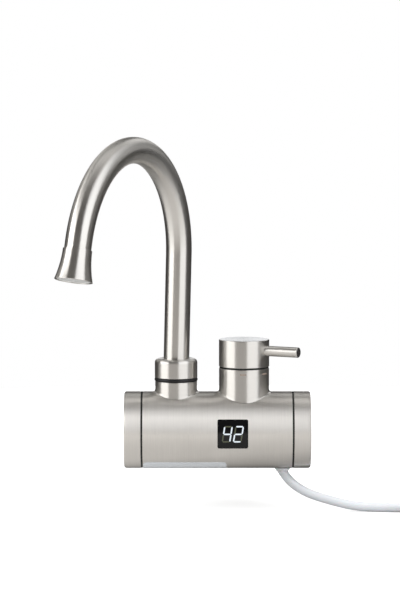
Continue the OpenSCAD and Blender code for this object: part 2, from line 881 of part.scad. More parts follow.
module inner_leads() {
    lead_z = board_t + block_size[2] / 2;
    // mains leads, from the gland up through the board and into the terminal block
    color("saddlebrown") on_body() for (i = [-1:1]) swept_tube([
        [gland_offset, i * lead_gap, gland_top],
        [gland_offset, i * lead_gap, lead_z - lead_bend],
        [gland_offset + lead_bend * (1 - cos(45)), i * lead_gap, lead_z - lead_bend * (1 - sin(45))],
        [gland_offset + lead_bend, i * lead_gap, lead_z],
        [block_left, i * lead_gap, lead_z]
    ], lead_d, lead_sides);
    // heater leads, from the element's terminals behind the valve body to the relay side
    color("firebrick") on_body() for (i = [0, 1]) swept_tube([
        [terminal_end, i == 0 ? -element_r : element_r, element_r + terminal_d / 2 + heater_lead_step[i]],
        [terminal_end, i == 0 ? -element_r : element_r, element_r + heater_lead_rise[i]],
        [terminal_end + heater_lead_shift[0], heater_lead_back[i], heater_lead_top[i]],
        [terminal_end + heater_lead_shift[1], heater_lead_side[i], heater_lead_run_z[i]],
        [valve_body_d / 2, heater_lead_side[i], heater_lead_run_z[i]],
        [board_left + heater_lead_end, heater_lead_end_y[i], heater_lead_bend_z],
        [board_left + heater_lead_end, heater_lead_end_y[i], board_t]
    ], lead_d, lead_sides, [1, 0, 0]);
}

// Cord
module cord_gland() {
    color("whitesmoke") on_body() translate([gland_offset, 0, 0]) {
        difference() {
            translate([0, 0, cord_start_z]) cylinder(d1 = gland_nose_d, d2 = gland_flange_d, h = gland_drop);
            translate([-gland_offset, 0, 0]) body_block(body_r);
        }
        translate([0, 0, cord_start_z + 1]) cylinder(d = gland_neck_d, h = gland_inner_z - cord_start_z);
        translate([0, 0, gland_inner_z]) cylinder(d1 = gland_inner_d, d2 = gland_nose_d, h = gland_top - gland_inner_z);
    }
}

module cord() {
    color("whitesmoke") swept_tube(cord_route, cord_d, cord_sides);
}

module cord_coil() {
    color("whitesmoke") swept_tube(coil_path, cord_d, coil_sides, [0, 0, 1]);
}

module cord_tail() {
    color("whitesmoke") swept_tube(tail_route, cord_d, cord_sides, [0, 0, 1]);
}

module cord_tie() {
    inner_r = coil_out_r - coil_drop(coil_turns / 2 - 0.375) - cord_d / 2 - free;
    outer_r = coil_out_r - coil_drop(tie_turn) + cord_d / 2 + free;
    inner_h = coil_pitch + cord_d + 2 * tie_gap;
    bottom = lay_z - cord_d / 2 - tie_gap;
    color("white") translate([coil_x, coil_y, bottom]) rotate([0, 0, 90 - 360 * tie_turn]) difference() {
        translate([inner_r - tie_t, -tie_w / 2, -tie_t]) cube([outer_r - inner_r + 2 * tie_t, tie_w, inner_h + 2 * tie_t]);
        translate([inner_r, -tie_w, 0]) cube([outer_r - inner_r, 2 * tie_w, inner_h]);
    }
}

// Frame of the plug: Z from its cord end towards its pins
module on_plug() {
    translate([coil_end_x, plug_neck_y, plug_z]) rotate([90, 0, 0]) children();
}

module plug_body() {
    color("whitesmoke") on_plug() difference() {
        rotate_extrude() polygon([
            [0, 0], [plug_neck_d / 2, 0], [plug_shoulder_d / 2, plug_neck_len],
            [plug_d / 2, plug_neck_len + 8], [plug_d / 2, plug_neck_len + plug_len], [0, plug_neck_len + plug_len]
        ]);
        for (side = [-1, 1]) translate([side * (plug_d / 2 - clip_t / 2), 0, plug_neck_len + 16])
            centred_box([clip_t + 0.01, clip_w, plug_len]);
    }
}

module plug_pins() {
    color("silver") on_plug() for (y = [-pin_gap / 2, pin_gap / 2])
        translate([0, y, plug_neck_len + plug_len]) cylinder(d = pin_d, h = pin_len);
}

module plug_earth_clips() {
    color("silver") on_plug() for (side = [-1, 1])
        translate([side * (plug_d / 2 - clip_t / 2), 0, plug_neck_len + 16])
        centred_box([clip_t, clip_w, plug_len - 16]);
}

// Spout
module spout_tube() {
    leg_len = arch_z - pivot_z - free;
    bore = tube_d - 2 * tube_wall;
    color("gainsboro") {
        on_tube() translate([arch_r, 0, arch_z]) rotate([90, 0, 0]) {
            translate([-arch_r, -leg_len, 0]) rotate([-90, 0, 0]) ring(tube_d, bore, leg_len);
            rotate_extrude(start = outlet_lean, angle = 180 - outlet_lean) translate([arch_r, 0]) difference() {
                circle(d = tube_d);
                circle(d = bore);
            }
        }
        at_outlet() translate([0, 0, -outlet_lap])
            ring(tube_d - 2 * outlet_fit, bore + 2 * outlet_fit, outlet_lap + outlet_len + nozzle_socket);
    }
}

module spout_collar() {
    color("gainsboro") difference() {
        on_spout() translate([0, 0, collar_z]) difference() {
            rotate_extrude() polygon(concat(
                [[0, 0], [collar_d / 2, 0]],
                [for (step = [0:6]) let (angle = 15 * step)
                    [collar_d / 2 - collar_round + collar_round * cos(angle),
                     collar_h - collar_round + collar_round * sin(angle)]],
                [[0, collar_h]]
            ));
            translate([0, 0, -cut]) cylinder(d = spigot_flange_d, h = spigot_flange_h + cut);
        }
        on_tube() cylinder(d = tube_d, h = arch_z);
    }
}

module spout_spigot() {
    color("goldenrod") on_spout() difference() {
        union() {
            translate([0, 0, collar_z]) cylinder(d = spigot_flange_d, h = spigot_flange_h);
            translate([0, 0, collar_z - spigot_len]) cylinder(d = spigot_d, h = spigot_len);
        }
        cylinder(d = spigot_d - 2 * spigot_wall, h = pivot_z + cut);
        for (z = spigot_o_ring_zs) translate([0, 0, z - o_ring_t / 2])
            ring(spigot_d + cut, 2 * spigot_o_ring_r - o_ring_t, o_ring_t);
        translate([0, 0, neck_grub_z - grub_d / 2 - free]) ring(spigot_d + cut, 2 * neck_groove_r, grub_d + 2 * free);
    }
}

module spigot_o_rings() {
    color("black") on_spout() for (z = spigot_o_ring_zs) translate([0, 0, z]) torus(spigot_o_ring_r, o_ring_t);
}

// Radius of the nozzle's outside at a share of its length
function nozzle_r(share) = nozzle_top_d / 2 + (nozzle_rim_d - nozzle_top_d) / 2 * pow(share, 2);
function nozzle_side(from, inset) = [
    for (step = [0:nozzle_steps])
        let (z = from + (nozzle_len - from) * step / nozzle_steps)
        [nozzle_r(z / nozzle_len) - inset, z]
];

module nozzle() {
    color("gainsboro") at_outlet() translate([0, 0, outlet_len]) difference() {
        rotate_extrude() polygon(concat([[0, 0]], nozzle_side(0, 0), [[0, nozzle_len]]));
        translate([0, 0, -cut]) cylinder(d = tube_d, h = nozzle_socket + cut);
        cylinder(d = tube_d - 4, h = nozzle_len);
        rotate_extrude() polygon(concat(
            [[0, nozzle_bore_z]], nozzle_side(nozzle_bore_z, nozzle_lip), [[0, nozzle_len]]
        ));
        translate([0, 0, nozzle_len]) cylinder(d = nozzle_rim_d - 2 * nozzle_lip, h = cut);
    }
}

module aerator() {
    color("white") at_outlet() translate([0, 0, outlet_len]) difference() {
        rotate_extrude() polygon(concat(
            [[0, aerator_z]], nozzle_side(aerator_z, nozzle_lip), [[0, nozzle_len]]
        ));
        translate([0, 0, nozzle_len - aerator_recess]) cylinder(d = nozzle_rim_d, h = cut);
        for (ring_r = [3, 6, 9]) for (i = [1:ring_r * 2])
            rotate([0, 0, 180 * i / ring_r]) translate([ring_r, 0, aerator_z - cut])
                cylinder(d = 1.4, h = nozzle_len, $fn = 8);
    }
}

module aerator_seal() {
    color("black") at_outlet() translate([0, 0, outlet_len + nozzle_bore_z])
        ring(2 * nozzle_r(nozzle_bore_z / nozzle_len) - 2 * nozzle_lip, tube_d - 5, aerator_z - nozzle_bore_z);
}

// Knob
// Frame of the lever pin: Z outwards along the pin, from the valve axis
module on_lever(turn) {
    on_body() translate([0, 0, lever_z]) rotate([0, 90, -turn]) children();
}

module knob() {
    color("gainsboro") difference() {
        on_body() translate([0, 0, knob_z]) difference() {
            rotate_extrude() polygon([
                [0, 0], [knob_d / 2, 0], [knob_d / 2, knob_h - knob_chamfer],
                [knob_d / 2 - knob_chamfer, knob_h], [0, knob_h]
            ]);
            translate([0, 0, -cut]) ring(knob_d - 2 * knob_wall, knob_hub_d, knob_skirt + cut);
            translate([0, 0, -cut]) cylinder(d = stem_d, h = stem_top - knob_z + cut);
        }
        on_lever(lever_turn) {
            translate([0, 0, lever_seat_r]) cylinder(d = lever_d, h = knob_d);
            translate([0, 0, stud_r]) cylinder(d = stud_d, h = knob_d);
        }
        on_lever(lever_turn + 180) cylinder(d = grub_d, h = knob_d);
    }
}

module lever_pin() {
    color("gainsboro") on_lever(lever_turn) rotate_extrude() polygon([
        [0, stud_r], [stud_d / 2, stud_r], [stud_d / 2, lever_seat_r], [lever_d / 2, lever_seat_r],
        [lever_d / 2, lever_tip_r - lever_chamfer], [lever_d / 2 - lever_chamfer, lever_tip_r], [0, lever_tip_r]
    ]);
}

module knob_grub_screw() {
    color("dimgray") on_lever(lever_turn + 180) translate([0, 0, stem_d / 2]) grub_screw(8);
}

module valve_stem() {
    fork_z = seat_z + 2 * disc_h;
    color("goldenrod") on_body() translate([0, 0, fork_z]) {
        cylinder(d = disc_d, h = fork_h);
        cylinder(d = stem_d, h = stem_top - fork_z);
    }
}

body_shell();
left_end_cap();
right_end_cap();
seal_rings();
spout_neck();
friction_ring();
neck_grub_screw();
valve_boss();
gap_ring();
hot_mark();
display_window();
digits_lit();
digits_unlit();
display_module();
display_board();
blank_label();
inlet_shank();
wall_rosette();
wall_gasket();
inlet_filter();
valve_body();
fixed_disc();
cartridge_sleeve();
cartridge_nut();
stem_o_ring();
heating_vessel();
vessel_lid();
vessel_seal();
heating_element();
terminal_seals();
flow_pipe();
flow_piston();
reed_switch();
thermal_cutout();
control_board();
board_cradle();
relay();
triac();
terminal_block();
inner_leads();
cord_gland();
cord();
cord_coil();
cord_tail();
cord_tie();
plug_body();
plug_pins();
plug_earth_clips();
spout_tube();
spout_collar();
spout_spigot();
spigot_o_rings();
nozzle();
aerator();
aerator_seal();
knob();
lever_pin();
knob_grub_screw();
valve_stem();
moving_disc();
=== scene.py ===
import math

import bmesh
import bpy
import numpy as np
from mathutils import Matrix


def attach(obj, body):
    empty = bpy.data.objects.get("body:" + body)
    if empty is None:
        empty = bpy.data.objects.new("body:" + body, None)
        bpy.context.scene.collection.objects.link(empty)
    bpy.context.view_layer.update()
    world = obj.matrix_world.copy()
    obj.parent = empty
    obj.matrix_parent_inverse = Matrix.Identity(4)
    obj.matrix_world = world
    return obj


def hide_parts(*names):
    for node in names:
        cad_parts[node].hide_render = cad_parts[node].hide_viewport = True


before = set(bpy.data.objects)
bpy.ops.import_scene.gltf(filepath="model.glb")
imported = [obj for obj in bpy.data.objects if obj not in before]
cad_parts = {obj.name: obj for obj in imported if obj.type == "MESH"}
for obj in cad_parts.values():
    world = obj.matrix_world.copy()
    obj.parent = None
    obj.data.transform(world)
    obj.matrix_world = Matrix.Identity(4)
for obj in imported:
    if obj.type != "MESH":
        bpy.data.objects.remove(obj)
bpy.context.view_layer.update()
MM = 0.001

# Camera
# A long lens a little higher than the tap's top, looking slightly down, as the photograph was taken.
CAMERA_PLACE = (-0.0343, -2.4444, 0.3070)
CAMERA_PITCH_DOWN = 4.934
CAMERA_LENS_MM = 184.6
CAMERA_SENSOR_MM = 36
CAMERA_REACH = 30
camera_data = bpy.data.cameras.new("camera")
camera_data.lens = CAMERA_LENS_MM
camera_data.sensor_width = CAMERA_SENSOR_MM
camera_data.clip_end = CAMERA_REACH
camera = bpy.data.objects.new("camera", camera_data)
camera.location = CAMERA_PLACE
camera.rotation_euler = (math.radians(90 - CAMERA_PITCH_DOWN), 0, 0)
bpy.context.scene.collection.objects.link(camera)
bpy.context.scene.camera = camera

# Mains lead
# A round 7 mm lead in a pale grey PVC sheath. It drops from the drum, runs out along the surface and is
# wound up in a neat coil of two layers, whose end goes on to the plug.
LEAD_D = 7 * MM
LEAD_SIDES = 24
COIL_CENTRE_X = 172 * MM
COIL_ENTRY_Y = -70 * MM
COIL_TURNS = 4.25
COIL_STEPS_A_TURN = 48
COIL_PITCH = LEAD_D + 0.6 * MM
COIL_MIDDLE_R = 37.5 * MM
COIL_OUT_R = COIL_MIDDLE_R + COIL_PITCH * COIL_TURNS / 4
CLIMB_TURNS = 0.5
COIL_Y = COIL_ENTRY_Y - COIL_OUT_R
LAY_Z = -60.5 * MM
COIL_TOP_Z = LAY_Z + COIL_PITCH
TAIL_X = COIL_CENTRE_X + COIL_OUT_R
TAIL_LEN = 34 * MM
PLUG_D = 37.4 * MM
PLUG_Z = LAY_Z - LEAD_D / 2 + PLUG_D / 2
PLUG_NECK_Y = COIL_Y - TAIL_LEN
LEAD_ROUTE = MM * np.array([
    [28.9, -62, -30.9], [30.5, -62, -33.4], [32.3, -62, -36.1], [34.6, -62, -39], [37.7, -62, -42.1],
    [41.4, -62, -45], [45.8, -62, -47.8], [50.6, -62, -50.2], [57.4, -62.2, -52.7], [64.8, -62.8, -54.9],
    [72.6, -63.8, -56.9], [80, -65, -58.5], [88, -66, -59.7], [97, -67, -60.4], [109, -68.5, -60.5],
    [122, -69.5, -60.5], [136, -70, -60.5], [150, -70, -60.5], [165, -70, -60.5],
])
TAIL_ROUTE = np.array([
    [TAIL_X, COIL_Y - LEAD_D, COIL_TOP_Z], [TAIL_X, COIL_Y - 13 * MM, COIL_TOP_Z + 0.9 * MM],
    [TAIL_X, COIL_Y - 20 * MM, COIL_TOP_Z + 3.8 * MM], [TAIL_X, COIL_Y - 27 * MM, PLUG_Z - 0.9 * MM],
    [TAIL_X, PLUG_NECK_Y, PLUG_Z],
])


def coil_points():
    """Spirals in to the middle turn and out again at one pitch a turn, and climbs a layer at the middle."""
    turn = np.linspace(0, COIL_TURNS, int(COIL_TURNS * COIL_STEPS_A_TURN) + 1)
    radius = COIL_OUT_R - COIL_PITCH * np.minimum(turn, COIL_TURNS - turn)
    angle = np.radians(90 - 360 * turn)
    climb = np.clip((turn - COIL_TURNS / 2 + CLIMB_TURNS / 2) / CLIMB_TURNS, 0, 1)
    return np.column_stack([
        COIL_CENTRE_X + radius * np.cos(angle),
        COIL_Y + radius * np.sin(angle),
        LAY_Z + COIL_PITCH * climb,
    ])


def run_along(path):
    """The length run along a path up to each of its points."""
    return np.concatenate([[0], np.cumsum(np.linalg.norm(np.diff(path, axis=0), axis=1))])


def smoothed(points, steps):
    """Hermite curve through the points, with each tangent along the chord of its two neighbours."""
    gaps = np.linalg.norm(np.diff(points, axis=0), axis=1)[:, None]
    slope = np.gradient(points, run_along(points), axis=0)
    t = (np.arange(steps) / steps)[None, :, None]
    a, b = points[:-1, None], points[1:, None]
    from_a, from_b = (slope[:-1] * gaps)[:, None], (slope[1:] * gaps)[:, None]
    curve = (
        (2 * t**3 - 3 * t**2 + 1) * a + (t**3 - 2 * t**2 + t) * from_a
        + (3 * t**2 - 2 * t**3) * b + (t**3 - t**2) * from_b
    )
    return np.vstack([curve.reshape(-1, 3), points[-1:]])


def path_frames(path, side):
    """Normal and binormal at each point of a path, the normal carried along without twist."""
    along = np.gradient(path, axis=0)
    along /= np.linalg.norm(along, axis=1)[:, None]
    normals = np.empty_like(path)
    carried = np.array(side, float)
    for i, t in enumerate(along):
        carried = carried - t * (carried @ t)
        carried /= np.linalg.norm(carried)
        normals[i] = carried
    return normals, np.cross(along, normals)


def grid_faces(rows, columns, wrap_rows=False):
    """Quads of a grid whose columns close on themselves, and its rows too where wrap_rows is set."""
    i = np.arange(rows if wrap_rows else rows - 1)[:, None]
    j = np.arange(columns)[None, :]
    i_next, j_next = (i + 1) % rows, (j + 1) % columns
    quads = np.stack(np.broadcast_arrays(
        i * columns + j, i * columns + j_next, i_next * columns + j_next, i_next * columns + j,
    ), -1)
    return quads.reshape(-1, 4)


def grid_grain(across, around, wrap_rows=False, last_across=None):
    """Loop coordinates of the same quads: metres along the rows first, metres round the columns second."""
    ends = np.append(across, last_across) if wrap_rows else across
    near, far = ends[:-1, None], ends[1:, None]
    start, end = around[None, :-1], around[None, 1:]
    shape = np.broadcast_shapes(near.shape, start.shape)
    u = np.stack([np.broadcast_to(side, shape) for side in (near, near, far, far)], -1)
    v = np.stack([np.broadcast_to(side, shape) for side in (start, end, end, start)], -1)
    return np.stack([u, v], -1).reshape(-1, 2)


def add_mesh(name, points, faces, grain=None):
    """A smooth mesh object at the origin, with its place in its points and its grain in a UV map."""
    mesh = bpy.data.meshes.new(name)
    mesh.from_pydata(points.tolist(), [], [list(map(int, f)) for f in faces])
    if grain is not None:
        mesh.uv_layers.new(name="grain").data.foreach_set("uv", np.asarray(grain, np.float32).ravel())
    mesh.polygons.foreach_set("use_smooth", np.ones(len(mesh.polygons), bool))
    mesh.update()
    obj = bpy.data.objects.new(name, mesh)
    bpy.context.scene.collection.objects.link(obj)
    return obj


def carried_spokes(path, side, sides):
    """Angles round a path, and at each of its points the unit spokes at those angles."""
    normal, binormal = path_frames(path, side)
    angle = np.linspace(0, 2 * math.pi, sides + 1)
    turn = angle[None, :-1, None]
    return angle, np.cos(turn) * normal[:, None] + np.sin(turn) * binormal[:, None]


def tube(name, path, radius, sides, side):
    """A circle carried along a path, with a flat closed end at each end, and the length of the path."""
    angle, spoke = carried_spokes(path, side, sides)
    points = (path[:, None] + radius * spoke).reshape(-1, 3)
    run = run_along(path)
    last = (len(path) - 1) * sides
    caps = [list(range(sides))[::-1], list(range(last, last + sides))]
    grain = np.vstack([grid_grain(run, angle * radius), np.zeros((2 * sides, 2))])
    return add_mesh(name, points, [*grid_faces(len(path), sides), *caps], grain), run[-1]


def add_node(tree, kind, inputs=(), **settings):
    """A node of that kind, with its settings, and each named input linked to a socket or set to a value."""
    node = tree.nodes.new(kind if kind.startswith("NodeGroup") else "ShaderNode" + kind)
    for label, value in settings.items():
        setattr(node, label, value)
    for label, value in dict(inputs).items():
        if isinstance(value, bpy.types.NodeSocket):
            tree.links.new(value, node.inputs[label])
        else:
            node.inputs[label].default_value = value
    return node


def noise(tree, vector, scale, detail=3.0, rough=0.5):
    """Cloudy noise at a place, with a middle of 0.5 and scale clouds a metre."""
    settings = {"Vector": vector, "Scale": scale, "Detail": detail, "Roughness": rough}
    return add_node(tree, "TexNoise", settings).outputs["Fac"]


def math_node(tree, operation, *values):
    """The result of a Math node on numbers or sockets."""
    return add_node(tree, "Math", dict(enumerate(values)), operation=operation).outputs[0]


def swing(tree, pattern, middle, spread, level):
    """The level plus the spread times the pattern's distance from its middle."""
    return math_node(tree, "MULTIPLY_ADD", math_node(tree, "SUBTRACT", pattern, middle), spread, level)


def shaded(tree, color, factor):
    """The colour times a factor that changes over the surface."""
    return add_node(tree, "VectorMath", {0: color, "Scale": factor}, operation="SCALE").outputs[0]


def new_group(name, numbers):
    """A shader node group: it takes a Vector, a Tint, a Base Roughness and these numbers, which keep their
    values where a material gives no other, and puts out Color, Roughness and Normal."""
    group = bpy.data.node_groups.new(name, "ShaderNodeTree")
    for label, kind in (("Vector", "Vector"), ("Tint", "Color"), ("Base Roughness", "Float")):
        group.interface.new_socket(name=label, in_out="INPUT", socket_type="NodeSocket" + kind)
    for label, value in numbers.items():
        socket = group.interface.new_socket(name=label, in_out="INPUT", socket_type="NodeSocketFloat")
        socket.default_value = value
    for label, kind in (("Color", "Color"), ("Roughness", "Float"), ("Normal", "Vector")):
        group.interface.new_socket(name=label, in_out="OUTPUT", socket_type="NodeSocket" + kind)
    return group, add_node(group, "NodeGroupInput").outputs


def close_group(group, tint, tone, gloss, height, depth, strength):
    """Puts out the tint times the tone, the gloss, and the normal of a bump of that height and depth."""
    bump = add_node(group, "Bump", {"Height": height, "Distance": depth, "Strength": strength})
    add_node(group, "NodeGroupOutput", {
        "Color": shaded(group, tint, tone), "Roughness": gloss, "Normal": bump.outputs["Normal"],
    })


def moulded_group():
    """Moulded or extruded plastic and rubber: a fine pebbled skin, faint flow marks and handling sheen."""
    group, given = new_group("moulded_skin", {
        "Pebble Scale": 2500, "Pebble Depth": 0.00003, "Tone": 0.06, "Sheen Spread": 0.12,
    })
    pebble = noise(group, given["Vector"], given["Pebble Scale"], detail=2)
    flow = noise(group, given["Vector"], scale=60, detail=4, rough=0.6)
    handled = noise(group, given["Vector"], scale=25)
    tone = swing(group, flow, 0.5, given["Tone"], 1)
    gloss = swing(group, handled, 0.5, given["Sheen Spread"], given["Base Roughness"])
    close_group(group, given["Tint"], tone, gloss, pebble, given["Pebble Depth"], strength=0.6)
    return group


moulded_skin = moulded_group()


def new_material(name, tint, roughness, skin=None, group=moulded_skin, uv_map=None, **shader):
    """A Principled material: its group gives colour, roughness and normal, and its own sockets the rest."""
    material = bpy.data.materials.new(name)
    material.use_nodes = True
    tree = material.node_tree
    principled = tree.nodes["Principled BSDF"]
    where = add_node(tree, "UVMap", uv_map=uv_map) if uv_map else add_node(tree, "TexCoord")
    values = {"Tint": (*tint, 1), "Base Roughness": roughness, **(skin or {})}
    values["Vector"] = where.outputs["UV" if uv_map else "Object"]
    finish = add_node(tree, "Group", values, node_tree=group)
    for made, taken in (("Color", "Base Color"), ("Roughness", "Roughness"), ("Normal", "Normal")):
        tree.links.new(finish.outputs[made], principled.inputs[taken])
    for label, value in shader.items():
        principled.inputs[label.replace("_", " ").title().replace("Ior", "IOR")].default_value = value
    material.diffuse_color = (*tint, 1)
    return material


lead_sheath = new_material(
    "lead_sheath", (0.68, 0.70, 0.73), 0.42, {"Pebble Scale": 1800, "Pebble Depth": 0.00002},
    coat_weight=0.15, coat_roughness=0.25, subsurface_weight=0.08, subsurface_scale=0.002,
)


def dress(obj, material, body, slot, *nodes):
    """Gives a made piece its material and its body, and hides the CAD nodes that it stands for. The slot is
    not used.
    """
    obj.data.materials.clear()
    obj.data.materials.append(material)
    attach(obj, body)
    if nodes:
        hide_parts(*nodes)
    return obj


def finish_nodes(material, *nodes):
    """Puts a material on CAD nodes whose shape stays."""
    for node in nodes:
        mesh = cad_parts[node].data
        mesh.materials.clear()
        mesh.materials.append(material)


lead_path = np.vstack([smoothed(LEAD_ROUTE, 4), coil_points(), smoothed(TAIL_ROUTE, 4)])
mains_lead, lead_length = tube("mains_lead", lead_path, LEAD_D / 2, LEAD_SIDES, (0, 1, 0))
dress(mains_lead, lead_sheath, "root", "cord_sheath", "cord", "cord_coil", "cord_tail")

# Coil tie
# A flat pale nylon strap pulled round both layers of the coil.
finish_nodes(new_material("tie_nylon", (0.86, 0.86, 0.84), 0.35, coat_weight=0.2), "cord_tie")

# Plug
# A round earthed plug moulded on the lead's end: a ribbed neck, a fluted grip, two nickel pins and
# the two side strips that meet the socket's earth springs.
PLUG_NECK_LEN = 24 * MM
PLUG_NECK_D = 11 * MM
SHOULDER_D = 24 * MM
PLUG_SHOULDER = PLUG_NECK_LEN + 8 * MM
PLUG_FACE = PLUG_NECK_LEN + 34 * MM
PLUG_SIDES = 168
RIB_PITCH = 3.2 * MM
RIB_DEPTH = 0.6 * MM
RIBS_START = 2 * MM
RIBS_END = PLUG_NECK_LEN - 3 * MM
FLUTES = 28
FLUTE_DEPTH = 0.7 * MM
FLUTES_START = PLUG_SHOULDER + MM
FLUTES_END = PLUG_FACE - 8 * MM
RELIEF_FADE = 2 * MM
PLAIN_SIDE = 0.9
PIN_D = 4.8 * MM
PIN_LEN = 19 * MM
PIN_GAP = 19 * MM
PIN_SIDES = 48
NORMAL_WEIGHT = 80
MERGE_DISTANCE = 1e-7
STRAIGHT = 1e-6


def rounded_outline(corners, closed=False, steps=5):
    """Outline of (radius, height, fillet) corners: each corner becomes an arc tangent to its two sides."""
    spots = np.array([c[:2] for c in corners], float)
    fillets = [c[2] for c in corners]
    count = len(corners)
    out = []
    for k in range(count):
        if not closed and k in (0, count - 1):
            out.append(spots[k])
            continue
        before, here, after = spots[k - 1], spots[k], spots[(k + 1) % count]
        d1 = (here - before) / np.linalg.norm(here - before)
        d2 = (after - here) / np.linalg.norm(after - here)
        turn = math.atan2(d1[0] * d2[1] - d1[1] * d2[0], d1 @ d2)
        if fillets[k] == 0 or abs(turn) < STRAIGHT:
            out.append(here)
            continue
        n1 = np.array([d1[1], -d1[0]]) * math.copysign(1, turn)
        start = here - d1 * fillets[k] * math.tan(abs(turn) / 2)
        centre = start - n1 * fillets[k]
        for s in np.linspace(0, turn, steps + 1):
            turned = math.cos(s) * n1 + math.sin(s) * np.array([-n1[1], n1[0]])
            out.append(centre + fillets[k] * turned)
    return np.array(out)


def axis_place(origin, axis, across=(0, 0, 1)):
    """Matrix that takes local Z to an axis at an origin, with local X nearest to across."""
    z = np.array(axis, float) / np.linalg.norm(axis)
    x = np.array(across, float) - z * (np.array(across, float) @ z)
    x /= np.linalg.norm(x)
    place = np.eye(4)
    place[:3, :3] = np.column_stack([x, np.cross(z, x), z])
    place[:3, 3] = origin
    return place


def placed(points, place):
    """Points taken from a local frame to their place."""
    return points @ place[:3, :3].T + place[:3, 3]


def close_poles(obj):
    """Merges the points that meet on the axis, so that each pole is one point."""
    work = bmesh.new()
    work.from_mesh(obj.data)
    bmesh.ops.remove_doubles(work, verts=work.verts, dist=MERGE_DISTANCE)
    work.to_mesh(obj.data)
    work.free()


def even_normals(obj):
    """Weights each point's normal by the size of the faces round it, so that broad faces shade flat."""
    even = obj.modifiers.new("even_normals", "WEIGHTED_NORMAL")
    even.weight = NORMAL_WEIGHT
    even.keep_sharp = False


def revolve(name, outline, place, sides=96, closed=False, relief=None):
    """Turns an outline round local Z; a relief may change each radius by that radius, height and angle."""
    angle = np.linspace(0, 2 * math.pi, sides + 1)
    radius = np.repeat(outline[:, :1], sides, 1)
    height = np.repeat(outline[:, 1:], sides, 1)
    if relief:
        radius = relief(radius, height, angle[None, :-1])
    points = np.stack([radius * np.cos(angle[:-1]), radius * np.sin(angle[:-1]), height], -1)
    run = run_along(outline)
    lap = run[-1] + np.linalg.norm(outline[0] - outline[-1])
    grain = grid_grain(run, angle * outline[:, 0].max(), closed, lap)
    faces = grid_faces(len(outline), sides, closed)
    obj = add_mesh(name, placed(points.reshape(-1, 3), place), faces, grain)
    close_poles(obj)
    even_normals(obj)
    return obj


def between(height, start, end, fade_in, fade_out):
    """1 between two heights, with a straight fade from 0 inside each of them."""
    return np.clip((height - start) / fade_in, 0, 1) * np.clip((end - height) / fade_out, 0, 1)


def plug_relief(radius, height, angle):
    """Sinks ring grooves into the neck and flutes into the grip, both as raised cosines of place."""
    on_neck = between(height, RIBS_START, RIBS_END, RELIEF_FADE, RELIEF_FADE)
    on_grip = between(height, FLUTES_START, FLUTES_END, RELIEF_FADE, RELIEF_FADE)
    on_grip = on_grip * (np.abs(np.sin(angle)) < PLAIN_SIDE)
    ribs = RIB_DEPTH * on_neck * (0.5 - 0.5 * np.cos(2 * math.pi * height / RIB_PITCH))
    flutes = FLUTE_DEPTH * on_grip * (0.5 - 0.5 * np.cos(FLUTES * angle))
    return radius - (radius > 0.3 * PLUG_NECK_D) * (ribs + flutes)


plug_pvc = new_material(
    "plug_pvc", (0.68, 0.70, 0.73), 0.45, {"Pebble Scale": 1400, "Pebble Depth": 0.00004},
    coat_weight=0.08,
)
neck_heights = np.arange(1, PLUG_NECK_LEN / MM, 0.4) * MM
grip_heights = np.arange(PLUG_SHOULDER / MM + 1.2, PLUG_FACE / MM - 1.4, 1.0) * MM
neck_radii = PLUG_NECK_D / 2 + (SHOULDER_D - PLUG_NECK_D) / 2 * neck_heights / PLUG_NECK_LEN
plug_outline = np.vstack([
    rounded_outline([(0, 0, 0), (PLUG_NECK_D / 2, 0, 0.6 * MM), (neck_radii[0], neck_heights[0], 0)]),
    np.column_stack([neck_radii, neck_heights])[1:],
    rounded_outline([
        (neck_radii[-1], neck_heights[-1], 0), (SHOULDER_D / 2, PLUG_NECK_LEN, 4 * MM),
        (PLUG_D / 2, PLUG_SHOULDER, 3 * MM), (PLUG_D / 2, grip_heights[0], 0),
    ])[1:],
    np.column_stack([np.full(len(grip_heights), PLUG_D / 2), grip_heights])[1:],
    rounded_outline([
        (PLUG_D / 2, grip_heights[-1], 0), (PLUG_D / 2, PLUG_FACE, 1.2 * MM),
        (PLUG_D / 2 - 3 * MM, PLUG_FACE, 0), (0, PLUG_FACE, 0),
    ])[1:],
])
plug_place = axis_place((TAIL_X, PLUG_NECK_Y, PLUG_Z), (0, -1, 0))
plug_grip = revolve("plug_grip", plug_outline, plug_place, PLUG_SIDES, relief=plug_relief)
dress(plug_grip, plug_pvc, "root", "plug_plastic", "plug_body")


def metal_group():
    """Plain machined or plated metal: faint tool lines, a mottled tone and fingered patches."""
    group, given = new_group("machined_skin", {"Tone": 0.12})
    tooled = noise(group, given["Vector"], scale=900, detail=4, rough=0.6)
    patches = noise(group, given["Vector"], scale=90, detail=4, rough=0.6)
    tone = swing(group, patches, 0.5, given["Tone"], 1)
    gloss = swing(group, patches, 0.4, 0.12, given["Base Roughness"])
    close_group(group, given["Tint"], tone, gloss, tooled, depth=0.00001, strength=0.5)
    return group


machined_skin = metal_group()
pin_nickel = new_material("pin_nickel", (0.74, 0.72, 0.68), 0.18, group=machined_skin, metallic=1.0)
pin_outline = rounded_outline([
    (0, 0, 0), (PIN_D / 2, 0, 0.05 * MM), (PIN_D / 2, PIN_LEN, 1.6 * MM), (0, PIN_LEN, 0),
])
for pin_name, pin_side in (("plug_pin_upper", 1), ("plug_pin_lower", -1)):
    pin_foot = (TAIL_X, PLUG_NECK_Y - PLUG_FACE, PLUG_Z + pin_side * PIN_GAP / 2)
    pin = revolve(pin_name, pin_outline, axis_place(pin_foot, (0, -1, 0)), PIN_SIDES)
    dress(pin, pin_nickel, "root", "pin_metal", "plug_pins")
finish_nodes(pin_nickel, "plug_earth_clips")

# Cord gland
# A whitish nylon strain relief clamped in the drum's underside, its flange showing below the steel.
gland_nylon = new_material(
    "gland_nylon", (0.70, 0.72, 0.74), 0.3,
    coat_weight=0.4, coat_roughness=0.12, subsurface_weight=0.15, subsurface_scale=0.002,
)
finish_nodes(gland_nylon, "cord_gland")

